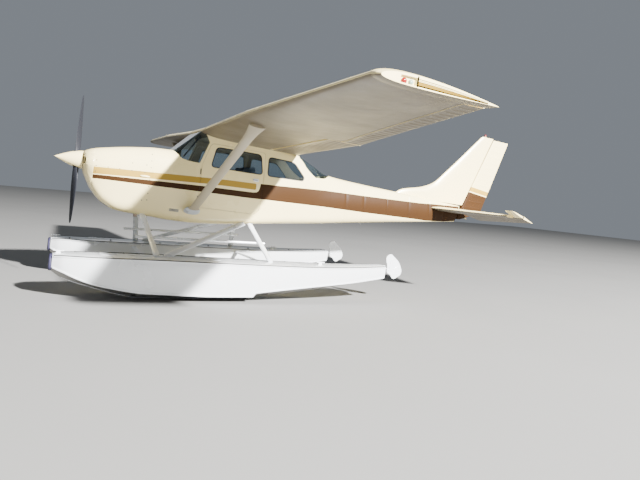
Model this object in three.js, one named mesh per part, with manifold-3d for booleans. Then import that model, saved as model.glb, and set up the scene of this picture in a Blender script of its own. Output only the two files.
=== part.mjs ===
// Four-seat high-wing floatplane on twin metal floats, in millimetres.
//
// Everything is drawn in the airframe's own directions: +X aft from the firewall, +Y to
// starboard, +Z up. The finished group is pitched so that the straight part of the float
// keels lies flat on the floor, and moved so that its origin is on that floor.

import * as THREE from 'three';
import { mergeVertices } from 'three/addons/utils/BufferGeometryUtils.js';
import Module from 'manifold-3d';

const wasm = await Module();
wasm.setup();

// Driving dimensions

const PITCH = 2.8;               // nose-up angle of the airframe when the keels lie flat, degrees
const TOUCH = 0.3;               // gap between pieces that touch
const RUN = 6;                   // gap between pieces that move past each other

const SKIN = 26;                 // cabin wall, frames and lining together
const GLASS = 6;                 // window panes
const GLASS_SET = 8;             // how far the panes sit inside the outer face

const HALF_ROOT = 480;           // wing root rib, from the centreline
const BREAK_Y = 2540;            // where the wing starts to taper
const TIP_Y = 5350;              // last rib, inside the tip fairing
const SPAN_Y = 5500;             // end of the tip fairing
const FLAP_IN = 500;
const FLAP_OUT = 2528;
const AILERON_IN = 2552;
const AILERON_OUT = 5335;

const FLOAT_Y = 1100;            // float centreline
const CRANK_Z = 702;             // propeller axis
const PROP_RADIUS = 950;
const PROP_REST = 5;             // blades off upright, degrees

// Wing stations: y, leading edge x and z, chord, incidence in degrees
const WING = [
  { y: HALF_ROOT, x: 652, z: 1402, chord: 1626, incidence: 4.2 },
  { y: BREAK_Y, x: 652, z: 1466, chord: 1626, incidence: 4.2 },
  { y: TIP_Y, x: 795, z: 1554, chord: 1174, incidence: 2.5 },
];

// Fuselage stations: x, top and bottom z, z of the widest place, half widths at the
// top, the widest place and the bottom, and the radii of those three corners
const BODY = [
  ['x', 'top', 'bottom', 'mid', 'wTop', 'wMid', 'wBottom', 'rTop', 'rMid', 'rBottom'],
  [-938, 838, 560, 702, 150, 250, 150, 90, 200, 90],
  [-900, 860, 469, 690, 215, 330, 212, 120, 220, 120],
  [-800, 895, 298, 660, 285, 395, 260, 170, 240, 170],
  [-640, 930, 128, 640, 335, 435, 286, 200, 260, 200],
  [-420, 972, 26, 620, 375, 465, 302, 210, 260, 180],
  [-180, 1008, 5, 620, 405, 488, 345, 220, 260, 140],
  [0, 1030, -2, 620, 425, 503, 385, 220, 260, 120],
  [290, 1042, -22, 620, 455, 520, 420, 200, 260, 105],
  [655, 1400, -28, 620, 455, 532, 445, 120, 300, 95],
  [1100, 1400, 2, 620, 455, 535, 450, 60, 300, 95],
  [1700, 1340, 70, 640, 440, 525, 430, 60, 300, 110],
  [2270, 1292, 135, 660, 395, 478, 385, 90, 280, 120],
  [2640, 1172, 175, 680, 310, 430, 345, 110, 260, 120],
  [3010, 1040, 218, 690, 215, 385, 305, 150, 240, 115],
  [3700, 990, 305, 700, 170, 305, 235, 130, 200, 100],
  [4700, 945, 425, 705, 115, 205, 150, 95, 150, 75],
  [5950, 880, 570, 720, 40, 66, 42, 34, 90, 34],
].map((row, i, table) => Object.fromEntries(row.map((value, k) => [table[0][k], value]))).slice(1);
const FIREWALL_X = 0;
const CABIN_END = 3000;

// Float stations: x, half beam at the deck and chine, z of deck edge, chine and keel
const FLOAT = [
  { x: -1236, deck: 150, chine: 138, zDeck: -607, zChine: -752, zKeel: -815 },
  { x: -1110, deck: 235, chine: 222, zDeck: -590, zChine: -790, zKeel: -895 },
  { x: -930, deck: 285, chine: 278, zDeck: -580, zChine: -856, zKeel: -952 },
  { x: -730, deck: 318, chine: 320, zDeck: -571, zChine: -912, zKeel: -1000 },
  { x: -450, deck: 342, chine: 350, zDeck: -556, zChine: -952, zKeel: -1060 },
  { x: -160, deck: 352, chine: 362, zDeck: -542, zChine: -982, zKeel: -1110 },
  { x: 640, deck: 352, chine: 362, zDeck: -511, zChine: -974, zKeel: -1071 },
  { x: 1452, deck: 340, chine: 350, zDeck: -484, zChine: -936, zKeel: -1031 },
  { x: 1482, deck: 339, chine: 344, zDeck: -483, zChine: -880, zKeel: -1000 },
  { x: 2300, deck: 300, chine: 300, zDeck: -452, zChine: -752, zKeel: -862 },
  { x: 3060, deck: 235, chine: 232, zDeck: -406, zChine: -642, zKeel: -713 },
  { x: 3720, deck: 165, chine: 158, zDeck: -346, zChine: -522, zKeel: -570 },
];
const DECK_CROWN = 22;
const KEEL_AT = { x: -160, z: -1110 };        // front of the straight keel
const STEP_AT = { x: 1452, z: -1031 };        // its rear end, at the step

// Side views of the cabin's openings, as x and z of their corners, with corner radii
const DOOR = { r: 60, at: [[704, 225], [704, 880], [822, 1228], [1716, 1222], [1716, 300], [1640, 225]] };
const DOOR_WINDOW = { r: 66, at: [[842, 866], [908, 1182], [1640, 1180], [1690, 866]] };
const SIDE_WINDOW = { r: 62, at: [[1772, 858], [1772, 1166], [2236, 1150], [2450, 930], [2420, 868]] };
const WINDSHIELD = {
  r: 12,
  at: [[262, 1120], [286, 1030], [405, 924], [672, 896], [792, 1235], [660, 1500], [262, 1500]],
};
const REAR_WINDOW = {
  r: 20,
  at: [[2330, 1240], [2455, 1120], [2680, 958], [2900, 985], [2990, 1030], [2990, 1400], [2330, 1400]],
};

// Fin and rudder stations: z, leading edge x, half thickness at the hinge
const FIN = [
  { z: 905, x: 4420, half: 52 },
  { z: 1030, x: 4600, half: 50 },
  { z: 1130, x: 5030, half: 48 },
  { z: 1245, x: 5290, half: 46 },
  { z: 1470, x: 5522, half: 42 },
  { z: 2300, x: 6292, half: 24 },
];
const RUDDER_HINGE = { x: 6036, z: 870, slope: 0.3976 };   // x grows with z along the hinge
const RUDDER_EDGE = { x: 6662, z: 1293, slope: 0.31 };     // trailing edge
const RUDDER_TOP = 2275;
const RUDDER_BOTTOM = 640;

// Stabilizer: root and tip y, leading edge x and z; the elevator hinge is straight
const STAB = { rootY: 62, tipY: 1520, rootX: 5225, tipX: 5835, z: 768 };
const ELEVATOR = { hingeX: 6022, hingeZ: 770, rootChord: 390, tipChord: 236, tipY: 1728, droop: 18.5 };

// Colours from the photograph
const IVORY = 0xf3ead2;
const ALUMINIUM = 0xc9ccca;
const FLOAT_PAINT = 0xe9ebea;
const BLACK = 0x1c1d20;
const GLASS_COLOUR = 0xb8c9d2;
const SEAT_BLUE = 0x56606e;
const ENGINE_GREY = 0x6a6c6e;
const EXHAUST_BROWN = 0x7d746a;
const PANEL_BLACK = 0x2a2c30;
const BEACON_RED = 0xa01818;

function paint(colour, roughness = 0.35, metalness = 0) {
  return new THREE.MeshStandardMaterial({ color: colour, roughness, metalness });
}

const ivory = paint(IVORY);
const silver = paint(ALUMINIUM, 0.4, 0.7);
const floatPaint = paint(FLOAT_PAINT, 0.3, 0.2);
const black = paint(BLACK, 0.6);
const glass = paint(GLASS_COLOUR, 0.05);
glass.transparent = true;
glass.opacity = 0.4;
const fabric = paint(SEAT_BLUE, 0.9);

// Solids: a closed mesh goes to the boolean library and back

function solid(geometry) {
  const bare = geometry.clone();
  for (const name of Object.keys(bare.attributes)) {
    if (name !== 'position') bare.deleteAttribute(name);
  }
  const merged = mergeVertices(bare, 1e-3);
  return new wasm.Manifold(new wasm.Mesh({
    numProp: 3,
    vertProperties: Float32Array.from(merged.attributes.position.array),
    triVerts: Uint32Array.from(merged.index.array),
  }));
}

function geometryOf(body) {
  const mesh = body.getMesh();
  const places = Float32Array.from(mesh.vertProperties);
  const geometry = new THREE.BufferGeometry();
  geometry.setAttribute('position', new THREE.BufferAttribute(places, 3));
  geometry.setIndex(new THREE.BufferAttribute(Uint32Array.from(mesh.triVerts), 1));
  return geometry;
}

// The same geometry on the other side of the centreline, its faces turned to point out
function mirrored(geometry) {
  const copy = geometry.clone();
  copy.scale(1, -1, 1);
  const index = copy.index.array;
  for (let i = 0; i < index.length; i += 3) {
    [index[i], index[i + 1]] = [index[i + 1], index[i]];
  }
  return copy;
}

function volumeOf(points, index) {
  let sum = 0;
  for (let i = 0; i < index.length; i += 3) {
    const [a, b, c] = [points[index[i]], points[index[i + 1]], points[index[i + 2]]];
    sum += a.dot(b.clone().cross(c)) / 6;
  }
  return sum;
}

// Closed skin through rings of points, with a flat fan at each end
function loft(rings) {
  const count = rings[0].length;
  const points = rings.flat();
  const index = [];
  for (let r = 0; r + 1 < rings.length; r += 1) {
    for (let i = 0; i < count; i += 1) {
      const j = (i + 1) % count;
      const [a, b, c, d] = [r * count + i, r * count + j, (r + 1) * count + i, (r + 1) * count + j];
      index.push(a, b, d, a, d, c);
    }
  }
  for (const [start, flip] of [[0, false], [(rings.length - 1) * count, true]]) {
    const centre = new THREE.Vector3();
    for (let i = 0; i < count; i += 1) centre.addScaledVector(points[start + i], 1 / count);
    points.push(centre);
    for (let i = 0; i < count; i += 1) {
      const j = (i + 1) % count;
      if (flip) index.push(points.length - 1, start + i, start + j);
      else index.push(points.length - 1, start + j, start + i);
    }
  }
  if (volumeOf(points, index) < 0) {
    for (let i = 0; i < index.length; i += 3) [index[i], index[i + 1]] = [index[i + 1], index[i]];
  }
  const places = points.flatMap((p) => [p.x, p.y, p.z]);
  const geometry = new THREE.BufferGeometry();
  geometry.setAttribute('position', new THREE.Float32BufferAttribute(places, 3));
  geometry.setIndex(index);
  return geometry;
}

// Outline with each corner rounded by a short curve that takes less than half of either side
const CORNER_SHARE = 0.45;
function rounded(corners, radius, steps = 3) {
  const outline = [];
  const count = corners.length;
  for (let i = 0; i < count; i += 1) {
    const here = new THREE.Vector2(...corners[i]);
    const back = new THREE.Vector2(...corners[(i + count - 1) % count]).sub(here);
    const ahead = new THREE.Vector2(...corners[(i + 1) % count]).sub(here);
    const cut = Math.min(radius, back.length() * CORNER_SHARE, ahead.length() * CORNER_SHARE);
    const start = here.clone().addScaledVector(back.normalize(), cut);
    const end = here.clone().addScaledVector(ahead.normalize(), cut);
    const curve = new THREE.QuadraticBezierCurve(start, here, end);
    outline.push(...curve.getPoints(steps));
  }
  return outline;
}

// Prism of a side view (x and z) between two y, and of a plan view (x and y) between two z
const vectors = (outline) => outline.map((p) => (p.isVector2 ? p : new THREE.Vector2(...p)));

function prism(outline, depth) {
  return new THREE.ExtrudeGeometry(new THREE.Shape(vectors(outline)), { depth, bevelEnabled: false });
}

function sidePrism(outline, y0, y1) {
  const geometry = prism(outline, y1 - y0);
  geometry.rotateX(Math.PI / 2);
  geometry.translate(0, y1, 0);
  return geometry;
}

function planPrism(outline, z0, z1) {
  const geometry = prism(outline, z1 - z0);
  geometry.translate(0, 0, z0);
  return geometry;
}

function box(x0, x1, y0, y1, z0, z1) {
  const geometry = new THREE.BoxGeometry(x1 - x0, y1 - y0, z1 - z0);
  geometry.translate((x0 + x1) / 2, (y0 + y1) / 2, (z0 + z1) / 2);
  return geometry;
}

// Bar between two places with an oval section, its wide axis turned to the given direction.
// Each station gives the share of the length, and the section's width and thickness there
function tube(from, to, stations, widest = new THREE.Vector3(1, 0, 0), sides = 12) {
  const along = new THREE.Vector3().subVectors(to, from).normalize();
  const u = widest.clone().addScaledVector(along, -widest.dot(along)).normalize();
  const v = new THREE.Vector3().crossVectors(along, u);
  return loft(stations.map((station) => Array.from({ length: sides }, (_, i) => {
    const angle = (i / sides) * 2 * Math.PI;
    return from.clone().lerp(to, station.share)
      .addScaledVector(u, (Math.cos(angle) * station.wide) / 2)
      .addScaledVector(v, (Math.sin(angle) * station.thick) / 2);
  })));
}

function bar(from, to, wide, thick, widest, sides) {
  return tube(from, to, [{ share: 0, wide, thick }, { share: 1, wide, thick }], widest, sides);
}

const at = (x, y, z) => new THREE.Vector3(x, y, z);

const craft = new THREE.Group();
craft.name = 'floatplane';

function add(name, body, material) {
  const geometry = body.isBufferGeometry ? body : geometryOf(body);
  const flat = geometry.index ? geometry.toNonIndexed() : geometry;
  flat.computeVertexNormals();
  const mesh = new THREE.Mesh(flat, material);
  mesh.name = name;
  craft.add(mesh);
  return mesh;
}

// A piece drawn to starboard goes on both sides
function addPair(name, body, material) {
  const geometry = body.isBufferGeometry ? body : geometryOf(body);
  add(`${name}_right`, geometry, material);
  add(`${name}_left`, mirrored(geometry), material);
}

// Fuselage: rings of two straight-sided halves with three rounded corners on each side
const BODY_CORNER_SHARE = 0.48;
const LEAST_CORNER = 8;

function bodyRing(station, inset) {
  const s = station;
  const half = [
    [0, s.bottom + inset],
    [s.wBottom - inset, s.bottom + inset, Math.max(s.rBottom - inset, LEAST_CORNER)],
    [s.wMid - inset, s.mid, s.rMid],
    [s.wTop - inset, s.top - inset, Math.max(s.rTop - inset, LEAST_CORNER)],
    [0, s.top - inset],
  ];
  const side = [];
  for (let i = 1; i < 4; i += 1) {
    const here = new THREE.Vector2(half[i][0], half[i][1]);
    const back = new THREE.Vector2(half[i - 1][0], half[i - 1][1]).sub(here);
    const ahead = new THREE.Vector2(half[i + 1][0], half[i + 1][1]).sub(here);
    const room = Math.min(back.length(), ahead.length()) * BODY_CORNER_SHARE;
    const cut = Math.min(half[i][2], room);
    const start = here.clone().addScaledVector(back.normalize(), cut);
    const end = here.clone().addScaledVector(ahead.normalize(), cut);
    side.push(...new THREE.QuadraticBezierCurve(start, here, end).getPoints(i === 2 ? 3 : 4));
  }
  const right = side.map((p) => at(s.x, p.x, p.y));
  const left = side.slice().reverse().map((p) => at(s.x, -p.x, p.y));
  return [at(s.x, 0, s.bottom + inset), ...right, at(s.x, 0, s.top - inset), ...left];
}

function stationAt(x) {
  const i = Math.max(1, BODY.findIndex((s) => s.x >= x));
  const [a, b] = [BODY[i - 1], BODY[i]];
  const t = (x - a.x) / (b.x - a.x);
  return Object.fromEntries(Object.keys(a).map((key) => [key, a[key] + t * (b[key] - a[key])]));
}

function fuselage(x0, x1, inset = 0) {
  const inside = BODY.filter((s) => s.x > x0 + 1 && s.x < x1 - 1);
  return solid(loft([stationAt(x0), ...inside, stationAt(x1)].map((s) => bodyRing(s, inset))));
}

// Cowl: a bowl and two halves round the engine, split along the side, with two air inlets, a
// hole for the crank and an outlet below
const COWL_SPLIT = 640;
const COWL_SKIN = 14;
const NOSE_X = -938;
const NOSE_WALL = 33;            // the bowl's front face
const INLET = { y: 205, z: 700, wide: 150, high: 110 };
const CRANK_HOLE = 130;
const OUTLET = { x0: -260, x1: -60, half: 130, z0: -40, z1: 60 };
const ENGINE = { x0: -770, x1: -60, half: 395, z0: 330, z1: 830 };
const ENGINE_GAP = 12;           // between the engine and the cowl's inner face
const EXHAUST = { top: at(-150, -95, 250), end: at(-125, -95, -40), width: 58 };
const NOSE_ROOM = { x0: NOSE_X - 62, x1: FIREWALL_X + 10, half: 600 };

// Bar along X through the nose, for the holes in the bowl
function noseBar(y, z, wide, high, x1) {
  return solid(bar(at(NOSE_ROOM.x0, y, z), at(x1, y, z), wide, high, at(0, 1, 0), 16));
}
const cowlOuter = fuselage(NOSE_X, FIREWALL_X - TOUCH);
const bowlInside = solid(box(NOSE_X + 28, NOSE_X + 78, -300, 300, 560, 800))
  .intersect(fuselage(NOSE_X + 26, NOSE_X + 88, COWL_SKIN));
const cowlInner = fuselage(NOSE_X + NOSE_WALL, FIREWALL_X, COWL_SKIN).add(bowlInside);
let cowl = cowlOuter.subtract(cowlInner);
for (const side of [-1, 1]) {
  cowl = cowl.subtract(noseBar(side * INLET.y, INLET.z, INLET.wide, INLET.high, NOSE_X + 118));
}
cowl = cowl.subtract(noseBar(0, CRANK_Z, CRANK_HOLE, CRANK_HOLE, NOSE_X + 138));
cowl = cowl.subtract(solid(box(
  OUTLET.x0, OUTLET.x1, -OUTLET.half, OUTLET.half, OUTLET.z0, OUTLET.z1)));
function cowlHalf(z0, z1) {
  return cowl.intersect(solid(box(
    NOSE_ROOM.x0, NOSE_ROOM.x1, -NOSE_ROOM.half, NOSE_ROOM.half, z0, z1)));
}
add('cowl_upper', cowlHalf(COWL_SPLIT + TOUCH / 2, 1200), ivory);
add('cowl_lower', cowlHalf(-100, COWL_SPLIT - TOUCH / 2), ivory);
const engineRoom = fuselage(-880, FIREWALL_X - 20, COWL_SKIN + ENGINE_GAP);
const engine = solid(box(ENGINE.x0, ENGINE.x1, -ENGINE.half, ENGINE.half, ENGINE.z0, ENGINE.z1));
add('engine_block', engine.intersect(engineRoom), paint(ENGINE_GREY, 0.6, 0.5));
add('exhaust_stack', bar(EXHAUST.top, EXHAUST.end, EXHAUST.width, EXHAUST.width, at(1, 0, 0)),
  paint(EXHAUST_BROWN, 0.6, 0.8));

// Spinner and propeller: the blades pass through slots in the cone
const SPINNER_BACK = -952;
const SPINNER_TIP = -1332;
const SPINNER_RADIUS = 136;
const SPINNER_POWER = 1.5;       // how round the cone's nose is
const SPINNER_STEPS = 10;
const HUB = { x: -1030, front: -44, back: 50, width: 120 };
const HUB_ROOM = { front: -48, back: 200, width: 128 };
const SLOT = { front: -52, back: 120, half: 62, reach: 200 };

const spinnerProfile = [new THREE.Vector2(0, 0)];
for (let i = 0; i < SPINNER_STEPS; i += 1) {
  const t = i / SPINNER_STEPS;
  const radius = SPINNER_RADIUS * (1 - t ** SPINNER_POWER);
  spinnerProfile.push(new THREE.Vector2(radius, t * (SPINNER_BACK - SPINNER_TIP)));
}
spinnerProfile.push(new THREE.Vector2(0, SPINNER_BACK - SPINNER_TIP));
const spinnerShape = new THREE.LatheGeometry(spinnerProfile, 24);
spinnerShape.rotateZ(Math.PI / 2);
spinnerShape.translate(SPINNER_BACK, 0, 0);

// Blade stations: radius, chord, thickness, angle from the plane of the disc in degrees
const BLADE = [
  { r: 0, chord: 96, thick: 60, angle: 60 },
  { r: 120, chord: 92, thick: 44, angle: 52 },
  { r: 300, chord: 128, thick: 26, angle: 34 },
  { r: 560, chord: 148, thick: 18, angle: 23 },
  { r: 800, chord: 128, thick: 12, angle: 17 },
  { r: 905, chord: 100, thick: 9, angle: 15 },
  { r: PROP_RADIUS, chord: 40, thick: 7, angle: 14 },
];
const BLADE_SIDES = 12;
function bladeRing(station, side) {
  const turn = THREE.MathUtils.degToRad(station.angle);
  return Array.from({ length: BLADE_SIDES }, (_, i) => {
    const a = (i / BLADE_SIDES) * 2 * Math.PI;
    const c = (Math.cos(a) * station.chord) / 2;
    const t = (Math.sin(a) * station.thick) / 2;
    const across = c * Math.cos(turn) - t * Math.sin(turn);
    const fore = c * Math.sin(turn) + t * Math.cos(turn);
    return at(fore, side * across, side * station.r);
  });
}
function crankBar({ front, back, width }) {
  return solid(bar(at(front, 0, 0), at(back, 0, 0), width, width, at(0, 1, 0), 20));
}
let propeller = crankBar(HUB);
for (const side of [1, -1]) {
  propeller = propeller.add(solid(loft(BLADE.map((station) => bladeRing(station, side)))));
}
const slots = crankBar(HUB_ROOM).add(solid(box(
  SLOT.front, SLOT.back, -SLOT.half, SLOT.half, -SLOT.reach, SLOT.reach)));
const spinner = solid(spinnerShape).subtract(solid(geometryOf(slots).translate(HUB.x, 0, 0)));
for (const [name, body, shift, material] of [
  ['spinner', spinner, 0, ivory],
  ['propeller', propeller, HUB.x, black],
]) {
  const mesh = add(name, body, material);
  mesh.position.set(shift, 0, CRANK_Z);
  mesh.rotation.x = THREE.MathUtils.degToRad(-PROP_REST);
}

// Wing section, from the trailing edge over the top to the nose and back underneath. Its
// half thickness is the four-digit family's formula at 12 percent, closed at the tail
const CHORDWISE = 11;
const THICKNESS = 0.6;           // five times the thickness share
const CAMBER = { most: 0.02, at: 0.4 };

function halfThickness(u) {
  const tail = -0.3516 * u ** 2 + 0.2843 * u ** 3 - 0.1015 * u ** 4;
  return THICKNESS * (0.2969 * Math.sqrt(u) - 0.126 * u + tail);
}

function camberAt(u) {
  const { most, at: place } = CAMBER;
  if (u < place) return (most / place ** 2) * (2 * place * u - u ** 2);
  return (most / (1 - place) ** 2) * (1 - 2 * place + 2 * place * u - u ** 2);
}

function sectionRing(station) {
  const ring = [];
  const turn = THREE.MathUtils.degToRad(station.incidence);
  for (let i = 0; i <= 2 * CHORDWISE; i += 1) {
    const a = (i / (2 * CHORDWISE)) * 2 * Math.PI;
    const u = (1 + Math.cos(a)) / 2;
    const half = halfThickness(u) * (i <= CHORDWISE ? 1 : -1);
    const v = (camberAt(u) + half) * (station.flat ?? 1);
    ring.push(at(
      station.x + station.chord * (u * Math.cos(turn) + v * Math.sin(turn)),
      station.y,
      station.z + station.chord * (v * Math.cos(turn) - u * Math.sin(turn)),
    ));
  }
  return ring;
}

function wingStation(y) {
  const [a, b] = y < BREAK_Y ? [WING[0], WING[1]] : [WING[1], WING[2]];
  const t = (y - a.y) / (b.y - a.y);
  return Object.fromEntries(Object.keys(a).map((key) => [key, a[key] + t * (b[key] - a[key])]));
}

// The middle of the wing, and the room for it in the cabin's roof, a little larger all round
function rootPiece(half, dx = 0, dz = 0) {
  return solid(loft([-1, 1].map((side) => sectionRing({
    ...WING[0], y: side * half, x: WING[0].x + dx, z: WING[0].z + dz,
  }))));
}
const wingCentre = rootPiece(HALF_ROOT - TOUCH);
const wingRoom = [[0, -TOUCH], [0, TOUCH], [-TOUCH, 0], [TOUCH, 0]]
  .map(([dx, dz]) => rootPiece(HALF_ROOT + 60, dx, dz))
  .reduce((sum, piece) => sum.add(piece));

// Hinge of a flap or aileron: the middle of the section at a given x
function hingePoint(x, y) {
  const station = wingStation(y);
  const turn = THREE.MathUtils.degToRad(station.incidence);
  const u = (x - station.x) / station.chord / Math.cos(turn);
  return at(x, y, station.z + station.chord * (camberAt(u) * Math.cos(turn) - u * Math.sin(turn)));
}

const FLAP_HINGE_X = 1800;
const AILERON_HINGE_IN = 2012;
const AILERON_HINGE_OUT = 1733;
const flapHinge = [hingePoint(FLAP_HINGE_X, FLAP_IN), hingePoint(FLAP_HINGE_X, FLAP_OUT)];
const aileronHinge = [hingePoint(AILERON_HINGE_IN, AILERON_IN), hingePoint(AILERON_HINGE_OUT, AILERON_OUT)];

// A hinge line made longer at both ends
function longer(hinge, grow) {
  const along = new THREE.Vector3().subVectors(hinge[1], hinge[0]).normalize();
  return [hinge[0].clone().addScaledVector(along, -grow), hinge[1].clone().addScaledVector(along, grow)];
}

// Room behind a hinge line, seen from above, starting a little ahead of or behind it
const PAST_EDGE = 900;           // well behind the trailing edge
const WING_ROOM_Z = [900, 1900];
function behind(hinge, shift, grow) {
  const [from, to] = longer(hinge, grow);
  const outline = [
    [from.x + shift, from.y], [from.x + PAST_EDGE, from.y], [to.x + PAST_EDGE, to.y], [to.x + shift, to.y],
  ];
  return solid(planPrism(outline, ...WING_ROOM_Z));
}

function hingeBar(hinge, radius, grow) {
  const [from, to] = longer(hinge, grow);
  return solid(bar(from, to, 2 * radius, 2 * radius, at(1, 0, 0), 20));
}

const FLAP_NOSE = 44;            // radii of the rounded noses, and the gaps round them
const FLAP_GAP = 8;
const AILERON_NOSE = 27;
const AILERON_GAP = 9;
const AILERON_COVE = -12;        // the wing's rear face ahead of the aileron's hinge
const END_GAP = 10;              // between the wing and the ends of a flap or aileron
const FLAP_SWING = 74;           // cove under the hinge, where the flap's lower corner swings
const COVE_STEPS = 12;

const wingWhole = solid(loft([
  sectionRing({ ...WING[0], y: HALF_ROOT + TOUCH }), sectionRing(WING[1]), sectionRing(WING[2]),
]));
function movingPiece(hinge, nose) {
  return wingWhole.intersect(behind(hinge, RUN, 0)).add(hingeBar(hinge, nose, 0).intersect(wingWhole));
}
const flap = movingPiece(flapHinge, FLAP_NOSE);
const aileron = movingPiece(aileronHinge, AILERON_NOSE);
function coveRing(hinge, dy) {
  return Array.from({ length: COVE_STEPS + 1 }, (_, i) => {
    const angle = Math.PI * (1 + i / COVE_STEPS);
    const [x, z] = [FLAP_SWING * Math.cos(angle), FLAP_SWING * Math.sin(angle)];
    return at(hinge.x + x, hinge.y + dy, hinge.z + z);
  });
}
const flapCove = solid(loft([coveRing(flapHinge[0], -END_GAP), coveRing(flapHinge[1], END_GAP)]));
const wing = wingWhole
  .subtract(behind(flapHinge, 0, END_GAP))
  .subtract(hingeBar(flapHinge, FLAP_NOSE + FLAP_GAP, END_GAP))
  .subtract(flapCove)
  .subtract(behind(aileronHinge, AILERON_COVE, END_GAP))
  .subtract(hingeBar(aileronHinge, AILERON_NOSE + AILERON_GAP, END_GAP));

add('wing_centre', wingCentre, ivory);
addPair('wing', wing, ivory);
addPair('flap', flap, ivory);
addPair('aileron', aileron, ivory);

// Tip fairing stations behind the last rib: the section flattens and droops towards its end
const TIP = [
  { y: SPAN_Y - 70, x: WING[2].x - 7, chord: 1190, z: WING[2].z - 14, incidence: 2, flat: 0.86 },
  { y: SPAN_Y, x: WING[2].x + 13, chord: 1172, z: WING[2].z - 24, incidence: 1.5, flat: 0.68 },
];
addPair('wing_tip', loft([{ ...WING[2], y: TIP_Y + TOUCH }, ...TIP].map(sectionRing)), ivory);

// Cabin: shell, doors and panes are all cut from the same two skins
const FIREWALL = 16;             // thickness
const skinOuter = fuselage(FIREWALL_X + TOUCH, CABIN_END);
const skinInner = fuselage(FIREWALL_X + FIREWALL, CABIN_END + 8, SKIN);
const skin = skinOuter.subtract(skinInner).subtract(wingRoom);

// One direction of an outline, grown on both sides about the middle of its corners
function grown(values, grow) {
  const centre = values.reduce((sum, value) => sum + value / values.length, 0);
  const scale = 1 + (2 * grow) / (Math.max(...values) - Math.min(...values));
  return values.map((value) => centre + (value - centre) * scale);
}

function opening(shape, y0, y1, grow = 0) {
  const [x, z] = [0, 1].map((axis) => grown(shape.at.map((p) => p[axis]), grow));
  const corners = x.map((value, i) => [value, z[i]]);
  return solid(sidePrism(rounded(corners, shape.r), y0, y1));
}

const WIDE = 700;                // more than the cabin's half width
const PANE_GAP = -1.5;           // panes are smaller than their openings by this, per side
const ONE_SIDE = 100;            // start of a cut that stays on one side of the cabin
const NOSE_END = 560;            // where the side skins start, behind the windshield's foot
const BELLY_Z = 140;             // top edge of the belly skins
let shell = skin;
shell = shell.subtract(opening(WINDSHIELD, -WIDE, WIDE)).subtract(opening(REAR_WINDOW, -WIDE, WIDE));
shell = shell.subtract(opening(SIDE_WINDOW, -WIDE, WIDE)).subtract(opening(DOOR, -WIDE, WIDE));
const doorSkin = skin.intersect(opening(DOOR, ONE_SIDE, WIDE, -RUN));
const door = doorSkin.subtract(opening(DOOR_WINDOW, ONE_SIDE, WIDE));

const paneSkin = fuselage(FIREWALL_X + 20, CABIN_END - 12, GLASS_SET)
  .subtract(fuselage(FIREWALL_X + 10, CABIN_END, GLASS_SET + GLASS)).subtract(wingRoom);
const BELOW = -200;              // under and over the whole cabin
const ABOVE = 1600;
const shellIn = (x0, x1, y0, z0, z1) => shell.intersect(solid(box(x0, x1, y0, WIDE, z0, z1)));
const paneIn = (shape, y0) => paneSkin.intersect(opening(shape, y0, WIDE, PANE_GAP));
add('cabin_belly', shellIn(0, NOSE_END, -WIDE, BELOW, BELLY_Z - TOUCH), ivory);
add('cabin_nose', shellIn(0, NOSE_END - TOUCH, -WIDE, BELLY_Z, ABOVE), ivory);
add('cabin_floor', shellIn(NOSE_END + TOUCH, CABIN_END, -WIDE, BELOW, BELLY_Z - TOUCH), ivory);
addPair('cabin_side', shellIn(NOSE_END, CABIN_END, TOUCH / 2, BELLY_Z, ABOVE), ivory);
add('windshield', paneIn(WINDSHIELD, -WIDE), glass);
add('rear_window', paneIn(REAR_WINDOW, -WIDE), glass);
addPair('side_window', paneIn(SIDE_WINDOW, ONE_SIDE), glass);
addPair('door', door, ivory);
addPair('door_glass', paneIn(DOOR_WINDOW, ONE_SIDE), glass);

// Tail cone, cut off along the rudder hinge
function hingeX(z) {
  return RUDDER_HINGE.x + (z - RUDDER_HINGE.z) * RUDDER_HINGE.slope;
}
function edgeX(z) {
  return RUDDER_EDGE.x + (z - RUDDER_EDGE.z) * RUDDER_EDGE.slope;
}
const RUDDER_GAP = 41;
const TAIL_SKIN = 12;
const TAIL_END = BODY.at(-1).x;
const HOLLOW_END = 5500;         // the tail cone is solid from here to its end
const TAIL_CUT = { z0: 100, z1: 2500, half: 400 };
const HATCH = { x0: CABIN_END - 10, x1: CABIN_END + 40, z: 620, wide: 300, high: 420 };   // front bulkhead
const aheadOfHinge = solid(sidePrism([
  [CABIN_END, TAIL_CUT.z0], [hingeX(TAIL_CUT.z0) - RUDDER_GAP, TAIL_CUT.z0],
  [hingeX(TAIL_CUT.z1) - RUDDER_GAP, TAIL_CUT.z1], [CABIN_END, TAIL_CUT.z1],
], -TAIL_CUT.half, TAIL_CUT.half));
const hatch = solid(bar(
  at(HATCH.x0, 0, HATCH.z), at(HATCH.x1, 0, HATCH.z), HATCH.wide, HATCH.high, at(0, 1, 0), 20));
const tailHollow = fuselage(CABIN_END + TAIL_SKIN, HOLLOW_END, TAIL_SKIN).add(hatch);
const tailCone = fuselage(CABIN_END + TOUCH, TAIL_END).intersect(aheadOfHinge).subtract(tailHollow);
add('tail_cone', tailCone, ivory);

// Thin section of a tail surface from its leading edge back to a blunt rear face. Each
// spot gives the share of the chord and the share of the half thickness there
function thinSection(spots, place) {
  const right = spots.map(([u, half]) => place(u, half));
  const left = spots.slice(1).map(([u, half]) => place(u, -half));
  return [...right, ...left.reverse()];
}

// Fin: thin sections with a long dorsal root, ending ahead of the rudder
const FIN_SPOTS = [[0, 0], [0.04, 0.34], [0.14, 0.66], [0.34, 0.94], [0.62, 1], [1, 0.9]];
function finRing(station) {
  const length = hingeX(station.z) - RUDDER_GAP - station.x;
  return thinSection(FIN_SPOTS, (u, half) => at(station.x + u * length, station.half * half, station.z));
}
const tailRoom = fuselage(4000, TAIL_END, -TOUCH);
add('fin', solid(loft(FIN.map(finRing))).subtract(tailRoom), ivory);

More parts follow.
